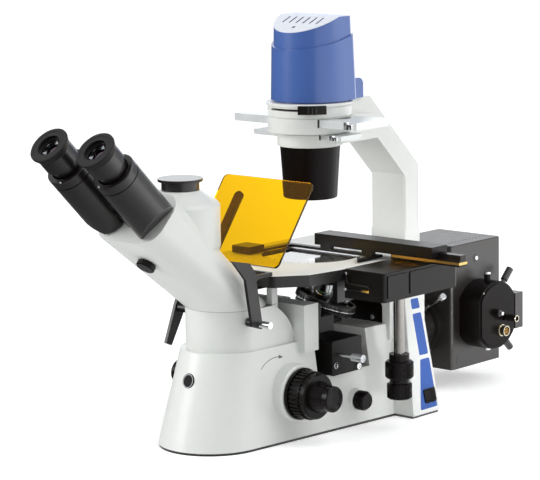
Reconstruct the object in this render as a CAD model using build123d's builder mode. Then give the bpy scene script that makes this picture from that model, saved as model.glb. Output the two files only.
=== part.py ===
from build123d import *
import math
import os

os.makedirs("parts", exist_ok=True)

# Inverted microscope with a trinocular head, phase-contrast illumination and a rear
# epi-fluorescence lamp house. Millimetres, +Z up. The origin is on the bench, straight under
# the objective's optical axis. The user sits at -Y, and +X is the user's right.

# Driving dimensions of the stand
plate_t = 3.0                # steel base plate
pad_r = 12.0
pad_t = 1.6
nose_foot_r = 64.0           # plan radius of the nose at the bench
nose_foot_y = -178.0
nose_top_r = 50.0            # plan radius of the nose at the shoulder
nose_top_y = -158.0
hull_rear_half = 84.0
hull_top_half = 66.0
hull_rear_y = 108.0
shoulder_z = 112.0
wall = 6.0
neck_r = 47.0
neck_y = -153.0
neck_rear_y = -88.0
neck_top_z = 160.0
foot_reach = 110.0           # outer face of the rear feet at the bench
foot_top_x = 80.0
foot_top_z = 145.0
foot_front_y = 57.0
foot_front_top_y = 78.0
spine_half = 34.0
spine_rear_y = 175.0
spine_front_y = 100.0

# Nosepiece bay
bay_front_y = -63.0
bay_rear_y = 62.0
bay_floor_z = 66.0
bulkhead_y = 25.0
bulkhead_z = 111.0
bridge_half = 64.0
bridge_y = -88.0
bridge_top_z = 156.0
light_r = 14.0               # clear hole down to the folding mirror
post_x = 40.0                # front posts under the stage
post_y = -116.5
post_low_z = 138.0

# Stage
stage_z = 198.0
stage_t = 14.0
stage_half = 95.0
stage_front_y = -140.0
stage_rear_y = 132.0
opening_r = 55.0
insert_r = 59.0
insert_t = 2.8
rail_in = 63.0               # side rails of the stand that carry the stage
rail_out = 70.0
rail_front_y = -35.0
rail_low_z = 152.0

# Focus drive
focus_y = -105.0
focus_z = 56.0
coarse_r = 28.0
fine_tip_r = 15.2
coarse_start_x = 76.6
coarse_end_x = 100.0
fine_end_x = 124.0
coarse_shaft_r = 8.0
fine_shaft_r = 4.0
running = 0.08               # radial clearance of a running fit
gap = 0.3                    # clearance between parts that move past each other

# Nosepiece
tilt = 19.0                  # each objective leans this much from the turret's axis
swing = 42.0                 # compass direction in which the turret's axis leans
objective_circle_r = 19.0
objective_base_z = 152.0
turret_r = 38.0
seat_rise = 5.5
stations = 5

# Illumination arm, over the same axis
arm_half = 27.0
arm_foot_z = 210.0
arm_front_y = 146.0
arm_rear_y = 175.0
carrier_top_z = 384.0
rim_r = 52.0
carrier_r = 50.0
carrier_low_z = 348.0
filter_ring_r = 39.0
filter_ring_z = 331.0
cone_top_r = 36.0
cone_low_r = 32.0
cone_low_z = 268.0

# Head: eyepiece axes drop 45 degrees towards the stand
eye_half = 36.0              # half of the widest interpupillary distance
eye_y = -391.0
eye_z = 369.0
housing_top = 37.5           # distances down the eyepiece axis from the eyecup
housing_end = 131.0
housing_r = 25.0
barrel_y = -226.0
port_y = -224.0
port_z = 303.0

# Rear fluorescence lamp house
lamp_axis_z = 78.0
house_half = 50.0
house_front_y = 210.0
house_rear_y = 312.0
house_low_z = 25.0
house_top_z = 184.0


def body_plan(nose_r, nose_y, rear_half, rear_y):
    """Closed outline: a round nose with tangent sides that run to a straight rear."""
    reach = math.hypot(rear_half, rear_y - nose_y)
    lean = math.atan2(rear_y - nose_y, rear_half) - math.acos(nose_r / reach)
    side_x = nose_r * math.cos(lean)
    side_y = nose_y + nose_r * math.sin(lean)
    with BuildLine() as outline:
        ThreePointArc((-side_x, side_y), (0, nose_y - nose_r), (side_x, side_y))
        Polyline((side_x, side_y), (rear_half, rear_y), (-rear_half, rear_y), (-side_x, side_y))
    make_face(outline.edges())


def turned(plane, *profile, mode=Mode.ADD):
    """Revolve (along, radius) points about the plane's own x direction."""
    with BuildSketch(plane) as section:
        with BuildLine():
            Polyline(*profile, close=True)
        make_face()
    revolve(section.sketch, axis=Axis(plane.origin, plane.x_dir), mode=mode)


def block(x0, x1, y0, y1, z0, z1, mode=Mode.ADD):
    """A rectangular block between two corners."""
    with Locations((x0, y0, z0)):
        Box(x1 - x0, y1 - y0, z1 - z0, align=(Align.MIN, Align.MIN, Align.MIN), mode=mode)


def rod(start, direction, r, length, mode=Mode.ADD):
    """A round bar from a point along a direction."""
    with Locations(Plane(origin=start, z_dir=direction).location):
        Cylinder(r, length, align=(Align.CENTER, Align.CENTER, Align.MIN), mode=mode)


def ribs(plane, count, r, along, width, depth, taper=0.0):
    """Axial grip ribs round a knob whose axis is the plane's z direction."""
    with BuildSketch(plane) as teeth:
        with PolarLocations(r - depth / 2, count):
            Rectangle(depth + 0.8, width)
    extrude(teeth.sketch, amount=along, taper=taper)


def sector(r0, r1, start, size):
    """A flat piece of a ring between two radii, from a start angle."""
    with BuildLine() as edge:
        outer = CenterArc((0, 0), r1, start, size)
        inner = CenterArc((0, 0), r0, start, size)
        Line(outer @ 0, inner @ 0)
        Line(outer @ 1, inner @ 1)
    make_face(edge.edges())


# Base plate with four anti-slip pads let into its underside
pad_spots = [(-42, -178), (42, -178), (-88, 84), (88, 84)]

with BuildPart() as base_plate:
    with BuildSketch(Plane.XY):
        body_plan(nose_foot_r - 1, nose_foot_y, hull_rear_half, hull_rear_y - 1)
        with Locations((0, (foot_front_y + hull_rear_y) / 2)):
            Rectangle(2 * foot_reach - 4, hull_rear_y - foot_front_y - 2)
    extrude(amount=plate_t)
    with BuildSketch(Plane.XY):
        with Locations(*pad_spots):
            Circle(pad_r)
    extrude(amount=pad_t, mode=Mode.SUBTRACT)
base_plate.part.label = "base_plate"
export_step(base_plate.part, "parts/base_plate.step")

with BuildPart() as base_pads:
    with BuildSketch(Plane.XY):
        with Locations(*pad_spots):
            Circle(pad_r - 0.2)
    extrude(amount=pad_t)
base_pads.part.label = "base_pads"
export_step(base_pads.part, "parts/base_pads.step")

# Outer face of the right rear foot: x runs along +Y, y runs up the slope
foot_lean = math.atan2(foot_reach - foot_top_x, foot_top_z - plate_t)
foot_face = Plane(
    origin=(foot_reach, 0, plate_t),
    x_dir=(0, 1, 0),
    z_dir=(math.cos(foot_lean), 0, math.sin(foot_lean)),
)
panel_t = 1.6
lower_panel = [(72, 5), (104.5, 5), (104.5, 65), (87, 65)]
middle_panel = [(87, 70), (104, 70), (103.5, 121), (87, 121)]
upper_panel = [(87.5, 126.5), (103, 126.5), (102.5, 139), (88, 139)]
switch_at = (93, 20)
switch_w = 21.0
switch_h = 17.0
switch_deep = 7.0
badge_r = 8.5
badge_z = 81.0
nose_slope = math.atan2(
    (nose_foot_r - nose_foot_y) - (nose_top_r - nose_top_y), shoulder_z - plate_t
)
badge_y = nose_top_y - nose_top_r - (shoulder_z - badge_z) * math.tan(nose_slope)
badge_face = Plane(
    origin=(0, badge_y, badge_z),
    x_dir=(1, 0, 0),
    z_dir=(0, -math.cos(nose_slope), math.sin(nose_slope)),
)
focus_axis = Plane(origin=(0, focus_y, focus_z), x_dir=(1, 0, 0), z_dir=(0, 0, 1))
boss_x = 72.0
boss_r = 34.0
lamp_knob_y = -6.0
lamp_knob_z = 31.0
guide_half = 14.0
lamp_boss_x = 76.5
lamp_boss_r = 13.0
lamp_shaft_r = 3.0
inlet_x = -58.0
inlet_z = 40.0

with BuildPart() as rear_panels:
    for corners in (lower_panel, middle_panel, upper_panel):
        with BuildSketch(foot_face):
            with BuildLine():
                Polyline(*corners, close=True)
            make_face()
            fillet(vertices(), 2)
        extrude(amount=-panel_t)
    with BuildSketch(foot_face):
        with Locations(switch_at):
            Rectangle(switch_w - 1, switch_h - 1)
    extrude(amount=-panel_t, mode=Mode.SUBTRACT)
    mirror(about=Plane.YZ)
rear_panels.part.label = "rear_panels"
export_step(rear_panels.part, "parts/rear_panels.step")

with BuildPart() as base_casting:
    # Lower hull, flared at the bench
    with BuildSketch(Plane.XY.offset(plate_t)):
        body_plan(nose_foot_r, nose_foot_y, hull_rear_half, hull_rear_y)
    with BuildSketch(Plane.XY.offset(shoulder_z)):
        body_plan(nose_top_r, nose_top_y, hull_top_half, hull_rear_y)
    loft()
    # Rear feet
    with BuildSketch(Plane.XY.offset(plate_t)):
        with Locations((foot_reach / 2 + 30, (foot_front_y + hull_rear_y) / 2)):
            Rectangle(foot_reach - 60, hull_rear_y - foot_front_y)
    with BuildSketch(Plane.XY.offset(foot_top_z)):
        with Locations((foot_top_x / 2 + 25, (foot_front_top_y + hull_rear_y) / 2)):
            Rectangle(foot_top_x - 50, hull_rear_y - foot_front_top_y)
    loft()
    mirror(about=Plane.YZ)
    # Neck that carries the head, and the bridge behind it
    with BuildSketch(Plane.XY.offset(shoulder_z)):
        with Locations((0, neck_y)):
            Circle(neck_r)
    extrude(amount=neck_top_z - shoulder_z)
    with BuildSketch(Plane.YZ.offset(-neck_r)):
        with BuildLine():
            ThreePointArc((neck_rear_y + 4, shoulder_z - 1), (neck_rear_y - 10, 141), (-123, neck_top_z))
            Polyline((-123, neck_top_z), (neck_y, neck_top_z), (neck_y, shoulder_z - 1),
                     (neck_rear_y + 4, shoulder_z - 1))
        make_face()
    extrude(amount=2 * neck_r)
    block(-bridge_half, bridge_half, bridge_y, bay_front_y, shoulder_z - 12, bridge_top_z)
    # Front posts under the stage
    for side in (-1, 1):
        with Locations((side * post_x, post_y, post_low_z)):
            Box(8, 10, stage_z - stage_t - post_low_z, align=(Align.CENTER, Align.CENTER, Align.MIN))
    # Rear tower and its side rails, up to the underside of the stage
    block(-rail_out, rail_out, bay_rear_y, hull_rear_y, shoulder_z - 20, stage_z - stage_t)
    for side in (-1, 1):
        x_in, x_out = sorted((side * rail_in, side * rail_out))
        block(x_in, x_out, rail_front_y, bay_rear_y + 1, rail_low_z, stage_z - stage_t)
    # Rear spine under the illumination arm
    block(-spine_half, spine_half, spine_front_y, spine_rear_y, plate_t, stage_z - stage_t)
    block(-arm_half, arm_half, arm_front_y, arm_rear_y, stage_z - stage_t - 1, arm_foot_z)
    # Nosepiece bay, open to the right
    block(-64, 90, bay_front_y, bulkhead_y, bay_floor_z, 150, mode=Mode.SUBTRACT)
    block(-64, 90, bulkhead_y - 1, bay_rear_y, bulkhead_z, 150, mode=Mode.SUBTRACT)
    # Guide for the focusing carriage
    block(-guide_half, guide_half, bay_front_y - 1, bay_front_y + 8, shoulder_z, bridge_top_z)
    # Bosses for the focus knobs and the lamp control
    turned(focus_axis, (-boss_x, 0), (-boss_x, boss_r - 2), (-boss_x + 2, boss_r), (boss_x - 2, boss_r),
           (boss_x, boss_r - 2), (boss_x, 0))
    # Hollow for the mirror and the electronics
    with BuildSketch(Plane.XY.offset(plate_t)):
        body_plan(nose_foot_r - wall, nose_foot_y, hull_rear_half - 8, hull_rear_y - wall)
    with BuildSketch(Plane.XY.offset(bay_floor_z - wall)):
        body_plan(nose_foot_r - 2 * wall, nose_foot_y + 10, hull_top_half, hull_rear_y - wall)
    loft(mode=Mode.SUBTRACT)
    block(-36, 36, -176, bay_front_y - wall, bay_floor_z - wall - 1, 98, mode=Mode.SUBTRACT)
    rod((0, 0, bay_floor_z - wall - 1), (0, 0, 1), light_r, wall + 2, mode=Mode.SUBTRACT)
    rod((0, neck_y, 90), (0, 0, 1), 18, neck_top_z - 89, mode=Mode.SUBTRACT)
    rod((0, bulkhead_y - 1, lamp_axis_z), (0, 1, 0), 16, spine_rear_y - bulkhead_y + 2,
        mode=Mode.SUBTRACT)
    # Bores for the focus shaft and the lamp control
    rod((-120, focus_y, focus_z), (1, 0, 0), coarse_shaft_r + running, 240, mode=Mode.SUBTRACT)
    rod((50, lamp_knob_y, lamp_knob_z), (1, 0, 0), lamp_boss_r, lamp_boss_x - 50)
    rod((40, lamp_knob_y, lamp_knob_z), (1, 0, 0), lamp_shaft_r + running, 60, mode=Mode.SUBTRACT)
    # Pockets for the badge, the rear panels and the switch
    with BuildSketch(badge_face.offset(-0.9)):
        Circle(badge_r + 0.3)
    extrude(amount=6, mode=Mode.SUBTRACT)
    add(rear_panels.part, mode=Mode.SUBTRACT)
    with BuildSketch(foot_face):
        with Locations(switch_at):
            Rectangle(switch_w - 1, switch_h - 1)
    extrude(amount=-switch_deep - 3, mode=Mode.SUBTRACT)
    block(inlet_x - 13.5, inlet_x + 13.5, hull_rear_y - 17, hull_rear_y + 1, inlet_z - 10,
          inlet_z + 10, mode=Mode.SUBTRACT)
base_casting.part.label = "base_casting"
export_step(base_casting.part, "parts/base_casting.step")

with BuildPart() as front_badge:
    with BuildSketch(badge_face.offset(-0.9)):
        Circle(badge_r)
    extrude(amount=1.6)
    fillet(front_badge.edges().filter_by(GeomType.CIRCLE).sort_by(Axis.Y)[0], 0.5)
front_badge.part.label = "front_badge"
export_step(front_badge.part, "parts/front_badge.step")

# Mains switch in the lower right panel: a bezel and a rocker on a cross pin
rocker_w = 16.4
rocker_h = 12.6
rocker_swing = 14.0
pin_depth = 1.0
pin_r = 1.2
switch_plane = Plane(
    origin=foot_face.from_local_coords((switch_at[0], switch_at[1], 0)),
    x_dir=foot_face.x_dir,
    z_dir=foot_face.z_dir,
)
rocker_pin = Plane(
    origin=switch_plane.from_local_coords((0, -switch_h / 2, -pin_depth)),
    x_dir=switch_plane.x_dir,
    z_dir=switch_plane.y_dir,
)
rocker_side = Plane(
    origin=switch_plane.from_local_coords((0, rocker_h / 2, 0)),
    x_dir=switch_plane.x_dir,
    z_dir=-switch_plane.y_dir,
)

with BuildPart() as switch_bezel:
    with BuildSketch(switch_plane):
        RectangleRounded(switch_w, switch_h, 1.5)
    extrude(amount=1.6)
    with BuildSketch(switch_plane):
        Rectangle(switch_w - 1.4, switch_h - 1.4)
    extrude(amount=-switch_deep)
    with BuildSketch(switch_plane.offset(2)):
        Rectangle(rocker_w + 1.6, rocker_h + 0.8)
    extrude(amount=-switch_deep - 1.4, mode=Mode.SUBTRACT)
    with BuildSketch(rocker_pin):
        Circle(pin_r + running)
    extrude(amount=switch_h, mode=Mode.SUBTRACT)
switch_bezel.part.label = "switch_bezel"
export_step(switch_bezel.part, "parts/switch_bezel.step")

with BuildPart() as switch_rocker:
    with BuildSketch(rocker_side):
        with BuildLine():
            half = rocker_w / 2
            rise = half * math.tan(math.radians(rocker_swing))
            Polyline((-half, -4), (half, -4), (half, 0.4 + rise), (0, 0.4), (-half, 0.4), close=True)
        make_face()
    extrude(amount=rocker_h)
    with BuildSketch(rocker_pin.offset(0.8)):
        Circle(pin_r)
    extrude(amount=switch_h - 1.6)
switch_rocker.part.label = "switch_rocker"
export_step(switch_rocker.part, "parts/switch_rocker.step")

# Mains inlet in the rear wall, with its three blades
inlet_depth = 14.0

with BuildPart() as power_inlet:
    block(inlet_x - 13.3, inlet_x + 13.3, hull_rear_y - 16, hull_rear_y, inlet_z - 9.8, inlet_z + 9.8)
    block(inlet_x - 17, inlet_x + 17, hull_rear_y, hull_rear_y + 2.5, inlet_z - 13, inlet_z + 13)
    block(inlet_x - 11.5, inlet_x + 11.5, hull_rear_y + 3 - inlet_depth, hull_rear_y + 3, inlet_z - 8,
          inlet_z + 8, mode=Mode.SUBTRACT)
    for offset_x, offset_z in ((-7, -2), (0, 2.5), (7, -2)):
        block(inlet_x + offset_x - 1, inlet_x + offset_x + 1, hull_rear_y + 2 - inlet_depth,
              hull_rear_y - 3, inlet_z + offset_z - 2, inlet_z + offset_z + 2)
power_inlet.part.label = "power_inlet"
export_step(power_inlet.part, "parts/power_inlet.step")

# Supply board on four pillars, under the rear tower
board_z = 10.0

with BuildPart() as power_board:
    block(-66, -22, 30, 92, board_z, board_z + 1.6)
    for x in (-62, -26):
        for y in (34, 88):
            rod((x, y, plate_t), (0, 0, 1), 3, board_z - plate_t)
    block(-60, -36, 58, 86, board_z + 1, board_z + 24)
    for y in (38, 50):
        rod((-32, y, board_z + 1), (0, 0, 1), 5, 18)
    block(-60, -46, 36, 50, board_z + 1, board_z + 12)
power_board.part.label = "power_board"
export_step(power_board.part, "parts/power_board.step")

# Folding mirrors: under the objective, and under the head
with BuildPart() as fold_mirrors:
    for edge_y, high_y, reach in ((-16, 18, 34), (neck_y + 16, neck_y - 18, -34)):
        with BuildSketch(Plane.YZ.offset(-15)):
            with BuildLine():
                Polyline((edge_y, plate_t), (high_y, plate_t), (high_y, plate_t + 17 + abs(reach)),
                         (edge_y, plate_t + 17), close=True)
            make_face()
        extrude(amount=30)
fold_mirrors.part.label = "fold_mirrors"
export_step(fold_mirrors.part, "parts/fold_mirrors.step")

# Stage, glass insert and the housing of the stage drive
recess_t = 3.0
drive_x = 154.0
drive_front_y = -51.0
drive_rear_y = 87.0
drive_low_z = 163.5
knob_x = 128.0
knob_y = 8.0

with BuildPart() as stage_plate:
    with BuildSketch(Plane.XY.offset(stage_z - stage_t)):
        with BuildLine():
            Polyline((-60, stage_front_y), (60, stage_front_y), (88, stage_front_y + 35),
                     (stage_half, -57), (stage_half, stage_rear_y), (-stage_half, stage_rear_y),
                     (-stage_half, -57), (-88, stage_front_y + 35), close=True)
        make_face()
        fillet(vertices().group_by(Axis.Y)[-1], 8)
        fillet(vertices().group_by(Axis.Y)[0], 12)
        Circle(opening_r, mode=Mode.SUBTRACT)
    extrude(amount=stage_t)
    with BuildSketch(Plane.XY.offset(stage_z - recess_t)):
        Circle(insert_r + gap)
    extrude(amount=recess_t, mode=Mode.SUBTRACT)
    chamfer(stage_plate.faces().sort_by(Axis.Z)[-1].outer_wire().edges(), 0.6)
stage_plate.part.label = "stage_plate"
export_step(stage_plate.part, "parts/stage_plate.step")

with BuildPart() as glass_insert:
    with BuildSketch(Plane.XY.offset(stage_z - recess_t)):
        Circle(insert_r)
    extrude(amount=insert_t)
    chamfer(glass_insert.faces().sort_by(Axis.Z)[-1].edges(), 0.4)
glass_insert.part.label = "glass_insert"
export_step(glass_insert.part, "parts/glass_insert.step")

with BuildPart() as stage_drive_housing:
    block(stage_half, drive_x, drive_front_y, drive_rear_y, drive_low_z, stage_z)
    fillet(stage_drive_housing.edges().filter_by(Axis.Z).group_by(Axis.X)[-1], 5)
    chamfer(stage_drive_housing.faces().sort_by(Axis.Z)[-1].edges(), 0.8)
    # Joint line and the two raised cover plates on the outer face
    for y0, y1 in ((drive_front_y + 6, -8), (-4, drive_rear_y - 6)):
        with BuildSketch(Plane.YZ.offset(drive_x)):
            with Locations(((y0 + y1) / 2, (drive_low_z + stage_z) / 2)):
                RectangleRounded(y1 - y0, stage_z - drive_low_z - 8, 2)
        extrude(amount=1.2)
stage_drive_housing.part.label = "stage_drive_housing"
export_step(stage_drive_housing.part, "parts/stage_drive_housing.step")

# Coaxial stage control
shaft_sleeve_r = 6.5
shaft_r = 3.0
knob_top_z = 92.0
upper_knob_z = 63.0
lower_knob_z = 38.0
drive_axis = Plane(origin=(knob_x, knob_y, 0), x_dir=(0, 0, 1), z_dir=(0, 1, 0))

with BuildPart() as stage_shaft:
    rod((knob_x, knob_y, knob_top_z), (0, 0, 1), shaft_sleeve_r, drive_low_z - knob_top_z)
    rod((knob_x, knob_y, lower_knob_z + 3), (0, 0, 1), shaft_r, knob_top_z - lower_knob_z - 2)
stage_shaft.part.label = "stage_shaft"
export_step(stage_shaft.part, "parts/stage_shaft.step")

with BuildPart() as stage_y_knob:
    turned(drive_axis, (upper_knob_z, 0), (upper_knob_z, 15.5), (upper_knob_z + 1, 15.9),
           (upper_knob_z + 19, 15.9), (upper_knob_z + 20, 15.5), (upper_knob_z + 20.5, 12),
           (knob_top_z - gap, 12), (knob_top_z - gap, 0))
    ribs(Plane(origin=(knob_x, knob_y, upper_knob_z + 1.5)), 36, 16.5, 17, 1.5, 0.6)
    rod((knob_x, knob_y, upper_knob_z - 1), (0, 0, 1), shaft_r + running, 40, mode=Mode.SUBTRACT)
stage_y_knob.part.label = "stage_y_knob"
export_step(stage_y_knob.part, "parts/stage_y_knob.step")

with BuildPart() as stage_x_knob:
    turned(drive_axis, (lower_knob_z, 0), (lower_knob_z, 13), (lower_knob_z + 1, 13.9),
           (lower_knob_z + 18, 13.9), (lower_knob_z + 19, 11.5), (upper_knob_z - gap, 11.5),
           (upper_knob_z - gap, 0))
    ribs(Plane(origin=(knob_x, knob_y, lower_knob_z + 1.5)), 32, 14.5, 16, 1.4, 0.6)
    rod((knob_x, knob_y, lower_knob_z + 2), (0, 0, 1), shaft_r + running, 40, mode=Mode.SUBTRACT)
stage_x_knob.part.label = "stage_x_knob"
export_step(stage_x_knob.part, "parts/stage_x_knob.step")

# Mechanical stage: a rail that travels in Y carries a bar that travels in X
stage_y_travel = 39.0
stage_x_travel = 60.0
rail_z = stage_z + 0.4
rail_top = 205.7
rail_y0 = 33.0
rail_y1 = 47.0
rail_x1 = 199.0
key_top = 212.0
bar_y0 = 21.0
bar_y1 = 50.0
bar_z = 206.2
bar_top = 220.0
bar_x0 = -13.0
bar_x1 = 167.0
bar_low_y = 30.0

with BuildPart() as guide_rail:
    block(stage_half + 1, rail_x1, rail_y0, rail_y1, rail_z, rail_top)
    block(stage_half + 1, rail_x1, rail_y0 + 1, rail_y1 - 3, rail_top - 1, key_top)
    block(stage_half + 2, rail_x1, rail_y0 - 1.5, rail_y0, rail_z + 1.6, rail_top - 1.2)
guide_rail.part.label = "guide_rail"
export_step(guide_rail.part, "parts/guide_rail.step")

with BuildPart() as x_bar:
    block(bar_x0, bar_x1, bar_y0, bar_y1, bar_z, bar_top)
    chamfer(x_bar.edges().filter_by(Axis.X).group_by(Axis.Z)[-1], 0.8)
    block(bar_x0 - 1, bar_x1 + 1, rail_y0 + 0.6, rail_y1 - 2.6, bar_z - 1, key_top + 0.4,
          mode=Mode.SUBTRACT)
x_bar.part.label = "x_bar"
export_step(x_bar.part, "parts/x_bar.step")

holder_z = 199.3
holder_t = 3.2

with BuildPart() as specimen_holder:
    block(-62, 86, 22, 30, holder_z, holder_z + holder_t)
    for x in (-5, 60):
        block(x, x + 15, 22, 30, holder_z, bar_z)
    block(-62, -52, -30, 30, holder_z, holder_z + holder_t)
    block(-81, -52, -53, -26, holder_z, holder_z + 8.5)
    fillet(specimen_holder.edges().filter_by(Axis.Z).group_by(Axis.Y)[0], 2)
    with BuildSketch(Plane.XY.offset(holder_z)):
        with BuildLine():
            Polyline((79, 30), (86, 30), (86, -17), (72, -1), (72, 4), (79, -4), close=True)
        make_face()
    extrude(amount=holder_t)
specimen_holder.part.label = "specimen_holder"
export_step(specimen_holder.part, "parts/specimen_holder.step")

# Illumination arm with the carrier for the condenser and the sliders
arm_bend_y = 80.0
arm_low_z = 332.0
arm_inner_z = 280.0
light_top_r = 20.0
slider_half = 30.0
slider_z = 357.0
slider_t = 9.0
diffuser_half = 20.0
diffuser_z = 341.0
diffuser_t = 6.0
lever_z = 376.0
lever_t = 2.0
lever_at = -46.0
lever_swing = 60.0
lever_ring_r = 45.6
up_axis = Plane(origin=(0, 0, 0), x_dir=(0, 0, 1), z_dir=(0, 1, 0))

with BuildPart() as illumination_arm:
    with BuildSketch(Plane.YZ.offset(-arm_half)):
        with BuildLine():
            Polyline((arm_front_y, arm_foot_z), (arm_rear_y, arm_foot_z),
                     (arm_rear_y, carrier_top_z - (arm_rear_y - arm_bend_y)),
                     (arm_bend_y, carrier_top_z), (carrier_r / 2, carrier_top_z),
                     (carrier_r / 2, arm_low_z),
                     (arm_front_y - (arm_low_z - arm_inner_z), arm_low_z),
                     (arm_front_y, arm_inner_z), close=True)
        make_face()
    extrude(amount=2 * arm_half)
    chamfer(illumination_arm.edges().filter_by(Axis.Z), 2)
    turned(up_axis, (filter_ring_z, 0), (filter_ring_z, filter_ring_r - 1), (filter_ring_z + 1, filter_ring_r),
           (carrier_low_z - 2, filter_ring_r), (carrier_low_z - 2, filter_ring_r - 3),
           (carrier_low_z, filter_ring_r - 3), (carrier_low_z, carrier_r - 1), (carrier_low_z + 1, carrier_r),
           (slider_z + slider_t + 0.5, carrier_r), (slider_z + slider_t + 0.5, carrier_r - 1.5),
           (slider_z + slider_t + 2, carrier_r - 1.5), (slider_z + slider_t + 2, carrier_r),
           (carrier_top_z - 5, carrier_r), (carrier_top_z - 3, rim_r), (carrier_top_z - 1, rim_r),
           (carrier_top_z, rim_r - 1), (carrier_top_z, 0))
    block(-40, 40, 0, 66, filter_ring_z + 3, carrier_low_z + 18)
    # Light path, slots of the two sliders and track of the aperture lever
    rod((0, 0, filter_ring_z - 1), (0, 0, 1), light_top_r, carrier_top_z - filter_ring_z + 2,
        mode=Mode.SUBTRACT)
    block(-90, 90, -slider_half - gap, slider_half + gap, slider_z - gap, slider_z + slider_t + gap,
          mode=Mode.SUBTRACT)
    block(-90, 90, -diffuser_half - gap, diffuser_half + gap, diffuser_z - gap,
          diffuser_z + diffuser_t + gap, mode=Mode.SUBTRACT)
    rod((0, 0, lever_z - 0.4), (0, 0, 1), lever_ring_r + 0.4, lever_t + 0.8, mode=Mode.SUBTRACT)
    with BuildSketch(Plane.XY.offset(lever_z - 0.4)):
        sector(lever_ring_r - 2, rim_r + 2, lever_at - lever_swing - 8, lever_swing + 16)
    extrude(amount=lever_t + 0.8, mode=Mode.SUBTRACT)
illumination_arm.part.label = "illumination_arm"
export_step(illumination_arm.part, "parts/illumination_arm.step")

with BuildPart() as aperture_lever:
    with BuildSketch(Plane.XY.offset(lever_z)):
        Circle(lever_ring_r)
        Circle(light_top_r + 4, mode=Mode.SUBTRACT)
        sector(lever_ring_r - 2, rim_r + 1, lever_at - 6, 12)
    extrude(amount=lever_t)
    with BuildSketch(Plane.XY.offset(lever_z - 3)):
        sector(rim_r + gap, rim_r + 6, lever_at - 17, 34)
    extrude(amount=10)
    for turn in (-3, 3):
        with BuildSketch(Plane.XY.offset(lever_z - 3)):
            sector(rim_r + 5, rim_r + 7, lever_at + turn - 0.7, 1.4)
        extrude(amount=10)
aperture_lever.part.label = "aperture_lever"
export_step(aperture_lever.part, "parts/aperture_lever.step")

slider_step = 45.0
diffuser_step = 34.0

with BuildPart() as phase_slider:
    block(-95, 97, -slider_half, slider_half, slider_z, slider_z + slider_t)
    fillet(phase_slider.edges().filter_by(Axis.Z), 2)
    for x in (-slider_step, 0, slider_step):
        rod((x, 0, slider_z - 1), (0, 0, 1), light_top_r - 5, slider_t + 2, mode=Mode.SUBTRACT)
phase_slider.part.label = "phase_slider"
export_step(phase_slider.part, "parts/phase_slider.step")

with BuildPart() as diffuser_slider:
    block(-73, 65, -diffuser_half, diffuser_half, diffuser_z, diffuser_z + diffuser_t)
    fillet(diffuser_slider.edges().filter_by(Axis.Z), 2)
    for x in (-diffuser_step, 0, diffuser_step):
        rod((x, 0, diffuser_z - 1), (0, 0, 1), 13, diffuser_t + 2, mode=Mode.SUBTRACT)
diffuser_slider.part.label = "diffuser_slider"
export_step(diffuser_slider.part, "parts/diffuser_slider.step")

# Condenser under the carrier
lens_r = 24.0
lens_low_z = cone_low_z + 2
lens_top_z = cone_low_z + 9

with BuildPart() as condenser_cone:
    turned(up_axis, (cone_low_z, lens_r - 2), (cone_low_z, cone_low_r - 1), (cone_low_z + 1, cone_low_r),
           (filter_ring_z, cone_top_r), (filter_ring_z, light_top_r), (lens_top_z + 1, light_top_r),
           (lens_top_z, lens_r), (lens_low_z, lens_r), (lens_low_z, lens_r - 2))
condenser_cone.part.label = "condenser_cone"
export_step(condenser_cone.part, "parts/condenser_cone.step")

with BuildPart() as condenser_lens:
    turned(up_axis, (lens_low_z, 0), (lens_low_z, lens_r), (lens_top_z, lens_r),
           (lens_top_z + 1, light_top_r), (lens_top_z + 4, 15), (lens_top_z + 6, 8), (lens_top_z + 6.6, 0))
condenser_lens.part.label = "condenser_lens"
export_step(condenser_lens.part, "parts/condenser_lens.step")

# Lamp housing: round in front and square behind, with a stepped shell and a slanted vented top
lamp_low_z = carrier_top_z + 2
lamp_h = 101.0               # height of the housing above its carrier
lamp_top_z = carrier_top_z + lamp_h
lamp_y = 6.0                 # centre of the round front
lamp_half_low = 50.0
lamp_half_high = 47.5
lamp_rear_low = 32.5
lamp_rear_high = 29.5
lamp_corner_r = 9.0
lamp_inset = 2.5             # the upper tier stands back by this much
lamp_wall = 3.5
top_edge = (-40.0, lamp_top_z - 17.5)    # y and z of one point on the slanted top
top_slope = 0.42
step_edge = (-43.0, lamp_top_z - 38.1)
step_slope = 0.23
slot_count = 6
slot_pitch = 10.45
slot_w = 2.6


def lamp_form(inset, low_z, edge, slope, flat_z):
    """Tapered body set in from the outside, cut off by a slanted plane and then by a flat one."""
    with BuildPart() as form:
        for level, half, rear in ((low_z, lamp_half_low, lamp_rear_low),
                                  (lamp_top_z + 5, lamp_half_high, lamp_rear_high)):
            side = half - inset
            with BuildSketch(Plane.XY.offset(level)):
                with BuildLine():
                    CenterArc((0, lamp_y), side, 180, 180)
                    Polyline((side, lamp_y), (side, rear - inset), (-side, rear - inset), (-side, lamp_y))
                make_face()
                fillet(vertices().group_by(Axis.Y)[-1], lamp_corner_r - inset)
        loft()
        split(bisect_by=Plane(origin=(0, *edge), z_dir=(0, -slope, 1)), keep=Keep.BOTTOM)
        split(bisect_by=Plane.XY.offset(flat_z), keep=Keep.BOTTOM)
    return form.part


outer_low = lamp_form(0, lamp_low_z, step_edge, step_slope, lamp_top_z)
outer_high = lamp_form(lamp_inset, lamp_low_z, top_edge, top_slope, lamp_top_z)
inner_form = lamp_form(lamp_inset + lamp_wall, lamp_low_z - 3, (top_edge[0], top_edge[1] - lamp_wall),
                       top_slope, lamp_top_z - lamp_wall)

with BuildPart() as rear_box:
    block(-30, 30, 28, 64, carrier_top_z, carrier_top_z + 24)
    fillet(rear_box.faces().sort_by(Axis.Z)[-1].edges().sort_by(Axis.Y)[-1], 8)

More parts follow.
